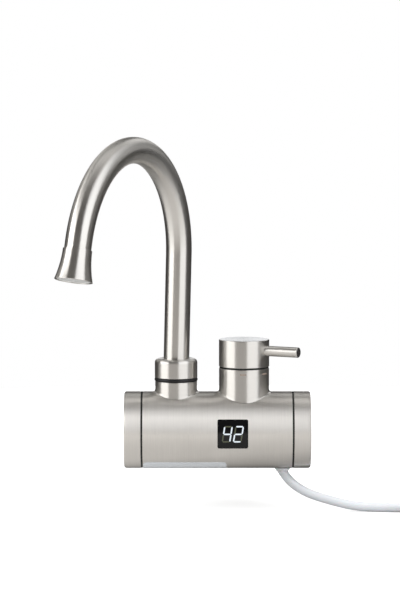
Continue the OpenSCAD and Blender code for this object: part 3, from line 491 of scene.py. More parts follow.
# Drum
# A 60 mm stainless tube, 1.2 mm thick and turned on a lathe, so its grain runs round it. The neck, the
# valve, the window, the inlet and the gland pass through its wall.
DRUM_R = 30 * MM
DRUM_WALL = 1.2 * MM
DRUM_BORE_R = DRUM_R - DRUM_WALL
DRUM_Y = -62 * MM
DRUM_SIDES = 360
RIGHT_END = 51.7 * MM
LEFT_END = RIGHT_END - 145 * MM
CAP_LEN = 13 * MM
SEAM_W = 1.5 * MM
LEFT_SEAM = LEFT_END + CAP_LEN + SEAM_W
RIGHT_SEAM = RIGHT_END - CAP_LEN - SEAM_W
SPOUT_X = -52.9 * MM
SOCKET_R = 14.5 * MM
BOSS_BORE_R = 17 * MM
INLET_HOLE_R = 10.3 * MM
GLAND_HOLE_R = 4.8 * MM
GLAND_X = 30 * MM
WINDOW_X = -9 * MM
WINDOW_W = 23.7 * MM
WINDOW_H = 22.6 * MM
WINDOW_CORNER = 1.3 * MM
WINDOW_CUT_START = 24 * MM
CUT_START = 20 * MM
CUT_END = 34 * MM
FACING = 0.97
GRAIN_STRETCH = (1.0, 0.02, 1.0)
STEEL_TINT = (0.66, 0.645, 0.62)
# The drum and its caps take a paler copy of the steel's tint: painted light that brightens their broad
# highlights.
DRUM_TINT_PAINTED_BRIGHT = (0.94, 0.915, 0.88)


def brushed_group():
    """Stainless steel turned on a belt: fine lines of uneven depth along one way, broad bands, smudges."""
    group, given = new_group("brushed_skin", {"Tone": 0.10, "Smudge": 0.08})
    grain = add_node(
        group, "VectorMath", {0: given["Vector"], 1: GRAIN_STRETCH}, operation="MULTIPLY",
    ).outputs[0]
    fine = noise(group, grain, scale=3500, rough=0.65)
    middle = noise(group, grain, scale=1100, detail=2, rough=0.6)
    broad = noise(group, grain, scale=420, detail=2)
    smudges = noise(group, given["Vector"], scale=28, detail=4, rough=0.6)
    coarse = math_node(group, "MULTIPLY_ADD", middle, 0.6, math_node(group, "MULTIPLY", broad, 0.4))
    brushed = math_node(group, "MULTIPLY_ADD", fine, 0.4, math_node(group, "MULTIPLY", coarse, 0.6))
    tone = swing(group, brushed, 0.5, given["Tone"], 1)
    worn = swing(group, smudges, 0.45, given["Smudge"], given["Base Roughness"])
    gloss = swing(group, broad, 0.5, 0.08, worn)
    close_group(group, given["Tint"], tone, gloss, brushed, depth=0.000006, strength=0.6)
    return group


brushed_skin = brushed_group()


def brushed_steel(name, roughness, anisotropy, tint=STEEL_TINT, skin=None):
    """Brushed stainless whose highlights spread across its grain, which is laid along the UV map's V."""
    material = new_material(
        name, tint, roughness, skin, brushed_skin, "grain", metallic=1.0, anisotropic=anisotropy,
    )
    tree = material.node_tree
    tangent = add_node(tree, "Tangent", direction_type="UV_MAP", uv_map="grain")
    tree.links.new(tangent.outputs[0], tree.nodes["Principled BSDF"].inputs["Tangent"])
    return material


def ring_outline(outer, inner, start, end, fillet):
    """Closed outline of a tube between two heights, wound so that its faces point outwards."""
    corners = [(inner, start, fillet), (outer, start, fillet), (outer, end, fillet), (inner, end, fillet)]
    return rounded_outline(corners, closed=True, steps=3)


def round_cutter(name, radius, x, way):
    """A rod through the drum's wall, which stands on the drum's axis at x and runs along a way."""
    outline = np.array([(0, CUT_START), (radius, CUT_START), (radius, CUT_END), (0, CUT_END)])
    rod = revolve(name, outline, axis_place((x, DRUM_Y, 0), way, (1, 0, 0)))
    rod.modifiers.clear()
    return rod


def window_cutter(name):
    """Prism of a rounded rectangle through the drum's front, its outline as four quarter circles."""
    arc = np.arange(0, 91, 15)
    quarter = np.repeat([0, 1, 2, 3], len(arc))
    turn = np.radians(quarter * 90 + np.tile(arc, 4))
    side_x = np.where((quarter == 0) | (quarter == 3), 1, -1)
    side_z = np.where(quarter < 2, 1, -1)
    x = WINDOW_X + side_x * (WINDOW_W / 2 - WINDOW_CORNER) + WINDOW_CORNER * np.cos(turn)
    z = side_z * (WINDOW_H / 2 - WINDOW_CORNER) + WINDOW_CORNER * np.sin(turn)
    count = len(x)
    near = np.column_stack([x, np.full(count, DRUM_Y - CUT_END), z])
    far = np.column_stack([x, np.full(count, DRUM_Y - WINDOW_CUT_START), z])
    ends = [list(range(count)), list(range(count, 2 * count))[::-1]]
    return add_mesh(name, np.vstack([near, far]), [*grid_faces(2, count)[:, ::-1], *ends])


def cut_out(obj, cutters):
    """Subtracts the cutters, keeps the result as the piece's mesh and deletes the cutters."""
    obj.modifiers.clear()
    for tool in cutters:
        step = obj.modifiers.new("cut_" + tool.name, "BOOLEAN")
        step.object = tool
        step.solver = "EXACT"
    bpy.context.view_layer.update()
    result = bpy.data.meshes.new_from_object(obj.evaluated_get(bpy.context.evaluated_depsgraph_get()))
    obj.modifiers.clear()
    obj.data = result
    for tool in cutters:
        bpy.data.objects.remove(tool)


def read_rows(rows, field, width=1, kind=float):
    """One field of all the points, corners or faces of a mesh as an array."""
    values = np.empty(len(rows) * width, kind)
    rows.foreach_get(field, values)
    return values.reshape(-1, width) if width > 1 else values


def lay_drum_grain(obj):
    """Grain and exact normals round the drum's axis, from each corner's angle and its place along X."""
    mesh = obj.data
    while mesh.uv_layers:
        mesh.uv_layers.remove(mesh.uv_layers[0])
    axis = (0, DRUM_Y, 0)
    corner = read_rows(mesh.vertices, "co", 3)[read_rows(mesh.loops, "vertex_index", kind=int)] - axis
    sizes = read_rows(mesh.polygons, "loop_total", kind=int)
    normal = np.repeat(read_rows(mesh.polygons, "normal", 3), sizes, 0)
    middle = np.repeat(read_rows(mesh.polygons, "center", 3) - axis, sizes, 0)
    angle_middle = np.arctan2(middle[:, 2], middle[:, 1])
    angle = np.arctan2(corner[:, 2], corner[:, 1])
    angle = angle_middle + (angle - angle_middle + math.pi) % (2 * math.pi) - math.pi
    radial = corner * (0, 1, 1)
    radial /= np.linalg.norm(radial, axis=1)[:, None]
    facing = (radial * normal).sum(1)
    inward = np.where((facing < -FACING)[:, None], -radial, normal)
    exact = np.where((facing > FACING)[:, None], radial, inward)
    grain = np.column_stack([corner[:, 0], angle * DRUM_R]).astype(np.float32)
    mesh.uv_layers.new(name="grain").data.foreach_set("uv", grain.ravel())
    mesh.polygons.foreach_set("use_smooth", np.ones(len(mesh.polygons), bool))
    mesh.normals_split_custom_set(exact.tolist())


drum_steel = brushed_steel("drum_steel", 0.50, 1.0, DRUM_TINT_PAINTED_BRIGHT, {"Tone": 0.30})
drum_place = axis_place((0, DRUM_Y, 0), (1, 0, 0))
drum_outline = ring_outline(DRUM_R, DRUM_BORE_R, LEFT_SEAM, RIGHT_SEAM, 0.15 * MM)
drum = revolve("drum", drum_outline, drum_place, DRUM_SIDES, closed=True)
cut_out(drum, [
    round_cutter("neck_hole", SOCKET_R, SPOUT_X, (0, 0, 1)),
    round_cutter("valve_hole", BOSS_BORE_R, 0, (0, 0, 1)),
    round_cutter("inlet_hole", INLET_HOLE_R, 0, (0, 1, 0)),
    round_cutter("gland_hole", GLAND_HOLE_R, GLAND_X, (0, 0, -1)),
    window_cutter("window_hole"),
])
lay_drum_grain(drum)
dress(drum, drum_steel, "root", "steel", "body_shell")

# End caps and their seals
# Spun steel cups pushed 5 mm into the drum's ends, each on a black rubber ring that shows as a thin line.
CAP_ROUND = 2 * MM
CAP_WALL = 2.4 * MM
SPIGOT_END = CAP_LEN + SEAM_W + 5 * MM
CAP_BORE_R = DRUM_BORE_R - CAP_WALL
cap_steel = brushed_steel("cap_steel", 0.50, 1.0, DRUM_TINT_PAINTED_BRIGHT, {"Tone": 0.26, "Smudge": 0.06})
cap_outline = rounded_outline([
    (0, 0, 0), (DRUM_R, 0, CAP_ROUND), (DRUM_R, CAP_LEN, 0.15 * MM), (DRUM_BORE_R, CAP_LEN, 0.1 * MM),
    (DRUM_BORE_R, SPIGOT_END, 0.2 * MM), (CAP_BORE_R, SPIGOT_END, 0.2 * MM),
    (CAP_BORE_R, CAP_WALL, 1.0 * MM), (0, CAP_WALL, 0),
], steps=8)
for cap_name, cap_x, cap_way, cap_node in (
    ("cap_left", LEFT_END, 1, "left_end_cap"), ("cap_right", RIGHT_END, -1, "right_end_cap"),
):
    cap = revolve(cap_name, cap_outline, axis_place((cap_x, DRUM_Y, 0), (cap_way, 0, 0)), DRUM_SIDES)
    dress(cap, cap_steel, "root", "steel", cap_node)
seal_rubber = new_material(
    "seal_rubber", (0.010, 0.010, 0.010), 0.5, {"Pebble Scale": 3000, "Tone": 0.2},
    specular_ior_level=0.3,
)
finish_nodes(
    seal_rubber, "seal_rings", "wall_gasket", "stem_o_ring", "spigot_o_rings", "aerator_seal", "gap_ring",
)

# Spout neck and friction ring
# A turned steel boss welded on the drum with a small fillet, bored for the spigot, and a black nylon ring
# on which the spout turns.
NECK_R = 16.3 * MM
NECK_TOP = 38.2 * MM
NECK_BORE_R = 12.05 * MM
NECK_FLOOR = 26.6 * MM
SOCKET_MIDDLE = 25 * MM
WATERWAY_R = 7.5 * MM
VESSEL_R = 22.5 * MM
WELD_FILLET = 2.0 * MM
SIDE_SHARE = 0.2
RING_R = 16.8 * MM
RING_BORE_R = 12.4 * MM
RING_H = 2.8 * MM
RING_ROUND = 1.1 * MM
turned_steel = brushed_steel("turned_steel", 0.32, 0.90)


def saddled_boss(name, x, rows, sides=144):
    """Rings round a vertical axis on the drum: each row is (radius, drum radius to sit on or 0, lift)."""
    angle = np.linspace(0, 2 * math.pi, sides + 1)
    cosine, sine = np.cos(angle[:-1]), np.sin(angle[:-1])
    points = []
    wall = max(radius for radius, seat, lift in rows if not seat)
    for radius, seat, lift in rows:
        spread = np.where(radius > wall, SIDE_SHARE + (1 - SIDE_SHARE) * cosine**4, 1)
        reach = np.minimum(radius, wall) + np.maximum(radius - wall, 0) * spread
        lift = lift * (spread if seat and lift > 0 else 1)
        flat = np.column_stack([reach * cosine, reach * sine])
        height = np.sqrt(seat**2 - flat[:, 1] ** 2) + lift if seat else np.full(sides, lift)
        points.append(np.column_stack([flat[:, 0] + x, flat[:, 1] + DRUM_Y, height]))
    points = np.array(points)
    climbed = np.linalg.norm(np.diff(points.mean(1), axis=0), axis=1)
    run = np.concatenate([[0], np.cumsum(climbed + np.abs(np.diff([row[0] for row in rows])))])
    grain = grid_grain(run, angle * NECK_R, True, run[-1] + MM)
    obj = add_mesh(name, points.reshape(-1, 3), grid_faces(len(rows), sides, True), grain)
    even_normals(obj)
    return obj


def weld_foot(radius, steps=8):
    """Rows of a fillet that leaves the drum flat and meets the wall upright: a quarter circle of lift."""
    out = np.linspace(1, 0, steps + 1)
    lift = WELD_FILLET * (1 - np.sqrt(1 - (1 - out) ** 2))
    return [(radius + WELD_FILLET * t, DRUM_R, rise) for t, rise in zip(out, lift, strict=True)]


def boss_rim(radius, top, bore, fillet=0.35 * MM, steps=4):
    """Rows over a boss's rounded upper edge, then in to its bore."""
    turn = np.radians(np.linspace(0, 90, steps + 1))
    rows = [(radius - fillet + fillet * math.cos(t), 0, top - fillet + fillet * math.sin(t)) for t in turn]
    return [*rows, (bore + 0.2 * MM, 0, top), (bore, 0, top - 0.2 * MM)]


neck_rows = [
    (SOCKET_R, VESSEL_R, 0), (SOCKET_R, 0, SOCKET_MIDDLE), (SOCKET_R, DRUM_BORE_R, 0),
    (NECK_R + WELD_FILLET, DRUM_R, -0.3 * MM), *weld_foot(NECK_R), *boss_rim(NECK_R, NECK_TOP, NECK_BORE_R),
    (NECK_BORE_R, 0, NECK_FLOOR + 0.1 * MM), (WATERWAY_R, 0, NECK_FLOOR), (WATERWAY_R, VESSEL_R, 0),
]
dress(saddled_boss("neck", SPOUT_X, neck_rows), turned_steel, "root", "steel", "spout_neck")

ring_nylon = new_material(
    "ring_nylon", (0.010, 0.010, 0.011), 0.35, {"Tone": 0.2}, specular_ior_level=0.3,
)
spout_place = axis_place((SPOUT_X, DRUM_Y, 0), (0, 0, 1), (1, 0, 0))
swivel_outline = ring_outline(RING_R, RING_BORE_R, NECK_TOP, NECK_TOP + RING_H, RING_ROUND)
swivel_ring = revolve("swivel_ring", swivel_outline, spout_place, closed=True)
dress(swivel_ring, ring_nylon, "root", "black_plastic", "friction_ring")
finish_nodes(ring_nylon, "board_cradle", "thermal_cutout", "display_module")
screw_steel = new_material("screw_steel", (0.42, 0.41, 0.40), 0.3, group=machined_skin, metallic=1.0)
finish_nodes(screw_steel, "neck_grub_screw", "knob_grub_screw")

# Spout
# One bent steel tube, 20 mm across, in a turned collar that rides on the ring. It stands 1.5 degrees out
# of true and is turned 64 degrees towards the viewer.
COLLAR_Z = 41.1 * MM
COLLAR_H = 14.7 * MM
COLLAR_R = 16.6 * MM
COLLAR_BORE_R = 9.6 * MM
COLLAR_ROUND = 3 * MM
TUBE_R = 10 * MM
TUBE_WALL = 1 * MM
PIVOT_Z = COLLAR_Z + 3 * MM
ARCH_Z = 137 * MM
ARCH_R = 83.6 * MM
OUTLET_LEAN = math.radians(13.7)
OUTLET_LEN = 5.8 * MM
NOZZLE_SOCKET = 9.5 * MM
TUBE_LEAN = 1.5
SPOUT_TURN = 64
LEG_STEPS = 40
ARCH_STEPS = 120
OUTLET_STEPS = 8
collar_outline = rounded_outline([
    (COLLAR_BORE_R, 0, 0.2 * MM), (COLLAR_R, 0, 0.35 * MM), (COLLAR_R, COLLAR_H, COLLAR_ROUND),
    (COLLAR_BORE_R, COLLAR_H, 0.2 * MM),
], closed=True, steps=8)
collar_place = spout_place.copy()
collar_place[2, 3] = COLLAR_Z
collar = revolve("collar", collar_outline, collar_place, closed=True)
dress(collar, turned_steel, "spout", "steel", "spout_collar")

tube_frame = (
    Matrix.Translation((SPOUT_X, DRUM_Y, PIVOT_Z)) @ Matrix.Rotation(math.radians(180 + SPOUT_TURN), 4, "Z")
    @ Matrix.Rotation(math.radians(-TUBE_LEAN), 4, "X") @ Matrix.Translation((0, 0, -PIVOT_Z))
)
tube_place = np.array(tube_frame)


def spout_line():
    """Up the leg, over a half circle less the outlet's lean, and down the short outlet leg."""
    leg = np.column_stack([np.zeros((LEG_STEPS, 2)), np.linspace(PIVOT_Z, ARCH_Z, LEG_STEPS)])
    turn = np.linspace(math.pi, OUTLET_LEAN, ARCH_STEPS + 1)[1:]
    arch = np.column_stack([ARCH_R * (1 + np.cos(turn)), 0 * turn, ARCH_Z + ARCH_R * np.sin(turn)])
    down = np.array([math.sin(OUTLET_LEAN), 0, -math.cos(OUTLET_LEAN)])
    outlet = arch[-1] + down * np.linspace(0, OUTLET_LEN + NOZZLE_SOCKET, OUTLET_STEPS + 1)[1:, None]
    return np.vstack([leg, arch, outlet])


def pipe(name, line, outer, inner, place, sides=96):
    """A tube with a bore: its outside runs along the line and its inside runs back, joined at both ends."""
    angle, spoke = carried_spokes(line, (0, 1, 0), sides)
    points = np.concatenate([line[:, None] + outer * spoke, (line[:, None] + inner * spoke)[::-1]])
    run = run_along(line)
    both = np.concatenate([run, run[-1] + outer - inner + run])
    grain = grid_grain(both, angle * outer, True, both[-1] + outer - inner)
    faces = grid_faces(2 * len(line), sides, True)
    return add_mesh(name, placed(points.reshape(-1, 3), place), faces, grain)


tube_steel = brushed_steel("tube_steel", 0.30, 0.92, skin={"Tone": 0.10})
spout_pipe = pipe("spout_pipe", spout_line(), TUBE_R, TUBE_R - TUBE_WALL, tube_place)
dress(spout_pipe, tube_steel, "spout", "steel", "spout_tube")

# Nozzle
# A turned bell on the outlet that flares to a 28.5 mm rim, with a pale aerator plate just inside its lip.
NOZZLE_TOP_R = 10.8 * MM
NOZZLE_RIM_R = 14.25 * MM
NOZZLE_LEN = 23.3 * MM
NOZZLE_LIP = 1.6 * MM
NOZZLE_BORE_R = 9.95 * MM
NOZZLE_SIDES = 120
PLATE_SEAT = 13 * MM
LIP_R = NOZZLE_RIM_R - NOZZLE_LIP
arch_end = (ARCH_R * (1 + math.cos(OUTLET_LEAN)), 0, ARCH_Z + ARCH_R * math.sin(OUTLET_LEAN))
outlet_frame = (
    tube_frame @ Matrix.Translation(arch_end) @ Matrix.Rotation(math.pi - OUTLET_LEAN, 4, "Y")
    @ Matrix.Translation((0, 0, OUTLET_LEN))
)
outlet_place = np.array(outlet_frame)
flare_z = np.linspace(0.3 * MM, NOZZLE_LEN - 0.5 * MM, 24)
flare_r = NOZZLE_TOP_R + (NOZZLE_RIM_R - NOZZLE_TOP_R) * (flare_z / NOZZLE_LEN) ** 2
bell_outline = np.vstack([
    rounded_outline([(NOZZLE_BORE_R, 0, 0), (NOZZLE_TOP_R, 0, 0.25 * MM), (flare_r[0], flare_z[0], 0)]),
    np.column_stack([flare_r, flare_z])[1:],
    rounded_outline([
        (flare_r[-1], flare_z[-1], 0), (NOZZLE_RIM_R, NOZZLE_LEN, 0.3 * MM), (LIP_R, NOZZLE_LEN, 0.3 * MM),
        (LIP_R - 2.2 * MM, PLATE_SEAT, 0), (NOZZLE_BORE_R, PLATE_SEAT - 0.1 * MM, 0),
    ])[1:],
])
nozzle_bell = revolve("nozzle_bell", bell_outline, outlet_place, NOZZLE_SIDES, closed=True)
dress(nozzle_bell, turned_steel, "spout", "steel", "nozzle")
finish_nodes(new_material("aerator_pom", (0.88, 0.88, 0.86), 0.4, coat_weight=0.1), "aerator")

# Valve boss and knob
# The boss is welded on the drum as the neck is. The knob is a solid turned cap on the cartridge's stem,
# with an 8 mm lever pin screwed into its side, and a black ring fills the gap between the two.
BOSS_R = 19.5 * MM
BOSS_FOOT = 26 * MM
BOSS_TOP = 48.4 * MM
KNOB_R = 19.6 * MM
KNOB_H = 21 * MM
KNOB_Z = BOSS_TOP + 1.4 * MM
KNOB_EDGE = 0.6 * MM
KNOB_SIDES = 144
SKIRT_R = KNOB_R - 3 * MM
SKIRT_H = 8 * MM
STEM_R = 4 * MM
STEM_BORE_TOP = 15.7 * MM
HUB_R = STEM_R + 5 * MM
HUB_FOOT = 0.2 * MM
LEVER_R = 4 * MM
LEVER_Z = KNOB_Z + 12.7 * MM
LEVER_TURN = math.radians(-28)
LEVER_TIP = KNOB_R + 27.7 * MM
LEVER_SEAT = KNOB_R - 1.2 * MM
LEVER_SIDES = 72
STUD_R = 2.5 * MM
STUD_END = LEVER_SEAT - 8 * MM
SPUN_TINT_PAINTED_PALE = (0.84, 0.855, 0.88)
boss_rows = [
    (BOSS_BORE_R, 0, BOSS_FOOT), (BOSS_R + WELD_FILLET, DRUM_R, -0.3 * MM), *weld_foot(BOSS_R),
    *boss_rim(BOSS_R, BOSS_TOP, BOSS_BORE_R),
]
dress(saddled_boss("boss", 0, boss_rows), turned_steel, "root", "steel", "valve_boss")


def face_finish(obj, material, axis):
    """Gives the faces that look along an axis a second material."""
    obj.data.materials.append(material)
    flat = read_rows(obj.data.polygons, "normal", 3) @ np.array(axis, float) > FACING
    obj.data.polygons.foreach_set("material_index", flat.astype(np.int32))


# The faces that look along the knob's axis and the lever get a spun finish, smoother and less streaked, and
# a paler, bluer tint that is painted highlight.
spun_face_steel_painted_pale = brushed_steel("spun_face_steel_painted_pale", 0.20, 0.30, SPUN_TINT_PAINTED_PALE, {"Tone": 0.06})
knob_outline = rounded_outline([
    (0, STEM_BORE_TOP, 0), (STEM_R, STEM_BORE_TOP, 0.2 * MM), (STEM_R, HUB_FOOT, 0.2 * MM),
    (HUB_R, HUB_FOOT, 0.3 * MM), (HUB_R, SKIRT_H, 0.5 * MM), (SKIRT_R, SKIRT_H, 0.5 * MM),
    (SKIRT_R, 0, 0.3 * MM), (KNOB_R, 0, 0.3 * MM), (KNOB_R, KNOB_H, KNOB_EDGE), (0, KNOB_H, 0),
], steps=6)
valve_place = axis_place((0, DRUM_Y, KNOB_Z), (0, 0, 1), (1, 0, 0))
knob_cap = revolve("knob_cap", knob_outline, valve_place, KNOB_SIDES)
dress(knob_cap, turned_steel, "knob", "steel", "knob")
face_finish(knob_cap, spun_face_steel_painted_pale, (0, 0, 1))
lever_outline = rounded_outline([
    (0, STUD_END, 0), (STUD_R, STUD_END, 0.2 * MM), (STUD_R, LEVER_SEAT, 0.1 * MM),
    (LEVER_R, LEVER_SEAT, 0.1 * MM), (LEVER_R, LEVER_TIP, 0.6 * MM), (0, LEVER_TIP, 0),
])
lever_way = (math.cos(LEVER_TURN), math.sin(LEVER_TURN), 0)
lever = revolve("lever", lever_outline, axis_place((0, DRUM_Y, LEVER_Z), lever_way), LEVER_SIDES)
dress(lever, turned_steel, "knob", "steel", "lever_pin")
face_finish(lever, spun_face_steel_painted_pale, lever_way)
# The hot mark's ink is darkened with painted shade, to match the dark band that it sits in.
finish_nodes(new_material("mark_ink_painted_shade", (0.34, 0.27, 0.22), 0.5, {"Tone": 0.4}), "hot_mark")

# Window and digits
# A smoked lens flush in the drum, curved with it, with two seven-bar digits lit behind it in white.
BAR_LIGHT = (0.86, 0.94, 1.0)
BAR_STRENGTH = 0.72
lens_smoked = new_material(
    "lens_smoked", (0.004, 0.004, 0.0045), 0.14,
    {"Pebble Depth": 0.000002, "Sheen Spread": 0.06}, ior=1.36,
)
finish_nodes(lens_smoked, "display_window")


def glowing(material, color, strength):
    """Adds a bar's own light, which falls off in faint cells along it, to a moulded material."""
    tree = material.node_tree
    cells = noise(tree, add_node(tree, "TexCoord").outputs["Object"], scale=900, detail=1)
    level = math_node(tree, "MULTIPLY_ADD", cells, 0.3, 0.85)
    principled = tree.nodes["Principled BSDF"]
    tree.links.new(shaded(tree, color, level), principled.inputs["Emission Color"])
    principled.inputs["Emission Strength"].default_value = strength
    return material


bar_lit = new_material("bar_lit", (0.22, 0.24, 0.26), 0.4)
finish_nodes(glowing(bar_lit, BAR_LIGHT, BAR_STRENGTH), "digits_lit")
finish_nodes(new_material("bar_unlit", (0.075, 0.08, 0.05), 0.3, {"Tone": 0.3}), "digits_unlit")

# Label
# A bare satin film round the drum's lower front, with rounded corners.
label_film = new_material(
    "label_film", (0.80, 0.835, 0.87), 0.3, {"Tone": 0.10, "Pebble Depth": 0.000008},
    coat_weight=0.5, coat_roughness=0.2,
)
finish_nodes(label_film, "blank_label")

# Wall inlet
# A brass shank with a half inch parallel thread comes out of the drum's back, through a spun steel
# rosette and its gasket, which rest on the wall.
THREAD_R = 20.955 / 2 * MM
THREAD_PITCH = 1.814 * MM
THREAD_DEPTH = 1.16 * MM
THREAD_START = 0
THREAD_END = 15 * MM
SHANK_R = THREAD_R - 0.25 * MM
SHANK_BORE_R = 6.5 * MM
SHANK_INNER_END = -50 * MM
SHANK_SIDES = 120
FLANGE_R = SHANK_R + 3 * MM
FLANGE_START = -32.4 * MM
FLANGE_END = -29 * MM
ROSETTE_R = 27 * MM
ROSETTE_HOLE_R = THREAD_R + 0.1 * MM
ROSETTE_FRONT = -10 * MM
ROSETTE_RIM = -1 * MM
ROSETTE_SIDES = 144
HOLLOW_R = 25.5 * MM
HOLLOW_FRONT = -8.5 * MM
inlet_place = axis_place((0, 0, 0), (0, 1, 0))


def threaded(radius, height, angle):
    """Cuts a vee groove that climbs one pitch a turn, faded in and out at the thread's ends."""
    share = (height / THREAD_PITCH - angle / (2 * math.pi)) % 1
    groove = THREAD_DEPTH * np.clip(1.15 - np.abs(2 * share - 1) * 1.3, 0, 1)
    faded = between(height, THREAD_START + MM, THREAD_END - 0.4 * MM, MM, 0.8 * MM)
    return radius - groove * faded * (radius > THREAD_R - 0.1 * MM)


thread_z = np.arange(THREAD_START + 0.25 * MM, THREAD_END - 0.6 * MM, 0.11 * MM)
shank_outline = np.vstack([
    rounded_outline([
        (SHANK_BORE_R, SHANK_INNER_END, 0), (SHANK_R, SHANK_INNER_END, 0.2 * MM),
        (SHANK_R, FLANGE_START, 0), (FLANGE_R, FLANGE_START, 0.2 * MM), (FLANGE_R, FLANGE_END, 0.5 * MM),
        (SHANK_R, FLANGE_END, 0.3 * MM), (SHANK_R, THREAD_START, 0.05 * MM),
        (THREAD_R, THREAD_START, 0.1 * MM), (THREAD_R, thread_z[0], 0),
    ]),
    np.column_stack([np.full(len(thread_z), THREAD_R), thread_z])[1:],
    rounded_outline([
        (THREAD_R, thread_z[-1], 0), (THREAD_R, THREAD_END, 0.5 * MM), (SHANK_BORE_R, THREAD_END, 0.4 * MM),
        (SHANK_BORE_R, SHANK_INNER_END, 0),
    ])[1:-1],
])
brass = new_material("brass", (0.72, 0.53, 0.26), 0.28, group=machined_skin, metallic=1.0)
shank = revolve("inlet_thread_shank", shank_outline, inlet_place, SHANK_SIDES, closed=True, relief=threaded)
dress(shank, brass, "root", "brass", "inlet_shank")
rosette_outline = rounded_outline([
    (ROSETTE_HOLE_R, ROSETTE_FRONT, 0.3 * MM), (ROSETTE_R, ROSETTE_FRONT, 4 * MM),
    (ROSETTE_R, ROSETTE_RIM, 0.3 * MM), (HOLLOW_R, ROSETTE_RIM, 0.3 * MM),
    (HOLLOW_R, HOLLOW_FRONT, 2.4 * MM), (ROSETTE_HOLE_R, HOLLOW_FRONT, 0.3 * MM),
], closed=True, steps=8)
rosette = revolve("rosette", rosette_outline, inlet_place, ROSETTE_SIDES, closed=True)
dress(rosette, turned_steel, "root", "steel", "wall_rosette")
finish_nodes(new_material("filter_nylon", (0.80, 0.81, 0.81), 0.4, coat_weight=0.1), "inlet_filter")

# Valve inside the boss
# A brass body with a ceramic cartridge: the lower disc stays, the upper one turns with the knob's stem.
finish_nodes(brass, "valve_body", "cartridge_nut", "spout_spigot", "flow_pipe", "valve_stem")
ceramic = new_material("ceramic", (0.86, 0.85, 0.80), 0.2, {"Pebble Depth": 0.000004}, coat_weight=0.3)
finish_nodes(ceramic, "fixed_disc", "moving_disc")
finish_nodes(new_material("sleeve_acetal", (0.74, 0.72, 0.64), 0.45), "cartridge_sleeve")

# Heater inside the drum
# A drawn steel vessel with a looped sheathed element, silicone seals, a thermal cutout and a flow switch.
vessel_steel = new_material("vessel_steel", (0.52, 0.52, 0.53), 0.35, group=machined_skin, metallic=1.0)
finish_nodes(vessel_steel, "heating_vessel", "vessel_lid")
element_steel = new_material(
    "element_steel", (0.34, 0.31, 0.28), 0.45, {"Tone": 0.35}, group=machined_skin, metallic=1.0,
)
finish_nodes(element_steel, "heating_element")
silicone = new_material("silicone", (0.48, 0.07, 0.05), 0.55, subsurface_weight=0.1, subsurface_scale=0.001)
finish_nodes(silicone, "vessel_seal", "terminal_seals")
finish_nodes(new_material("magnet_plastic", (0.10, 0.09, 0.085), 0.5, {"Tone": 0.25}), "flow_piston")
switch_plastic = new_material("switch_plastic", (0.035, 0.035, 0.04), 0.4, {"Tone": 0.2})
finish_nodes(switch_plastic, "reed_switch", "triac")

# Electronics inside the drum
# Two green boards, the relay, the terminal block and the sleeved wires between them.
solder_mask = new_material(
    "solder_mask", (0.012, 0.13, 0.045), 0.25, {"Tone": 0.3, "Pebble Scale": 700}, coat_weight=0.5,
)
finish_nodes(solder_mask, "display_board", "control_board")
finish_nodes(new_material("relay_case", (0.03, 0.10, 0.34), 0.3, coat_weight=0.2), "relay")
finish_nodes(new_material("terminal_polyamide", (0.05, 0.26, 0.12), 0.45), "terminal_block")
finish_nodes(new_material("wire_sleeve", (0.36, 0.13, 0.06), 0.5), "inner_leads")

# Studio
# A white floor and surround, soft lamps, and the cards that a photographer stands round polished metal:
# bright boxes at the left and right, a dark card round the camera, black ones low down behind, and grey
# and pale ones above. The cards show only in metal, and the lamps never do.
WHITE = (1, 1, 1, 1)
SOFT_LEVEL = 0.55
FLOOR_Z = -64 * MM
FLOOR_R = 0.8
FLOOR_SIDES = 96
FLOOR_GREY = (0.55, 0.55, 0.55, 1)
# The floor's painted reflection in metal: a warm white, darkened by painted shade near the tap and at the
# back and right.
FLOOR_IN_METAL = (1, 0.975, 0.94, 1)
GLOW_BY_DISTANCE = (0.25, 0.7, 0.62, 1.0)
LEVEL_BY_DISTANCE = (0.14, 0.34, 0.76, 1.0)
PAINTED_SHADE_WAY = (0.3, 0.95, 0.0)
PAINTED_SHADE_BY_WAY = (-0.10, 0.0, 1.0, 0.12)
CARD_AIM = np.array((-0.02, DRUM_Y, 0.08))
CARD_DISTANCE = 3.0
BOX_DISTANCE = 2.8
CARD_ROWS = 12
CARD_COLUMNS = 24


def ray_masks(tree):
    """1 for the camera's rays, and 1 for those mirrored in metal or seen through glass."""
    rays = add_node(tree, "LightPath").outputs
    in_metal = math_node(tree, "MAXIMUM", rays["Is Glossy Ray"], rays["Is Transmission Ray"])
    return rays["Is Camera Ray"], in_metal


def ramp(tree, value, start, end, low, high):
    """Goes evenly from low to high while the value goes from start to end, and keeps to them outside."""
    ends = {"From Min": start, "From Max": end, "To Min": low, "To Max": high}
    return add_node(tree, "MapRange", {"Value": value, **ends}).outputs[0]


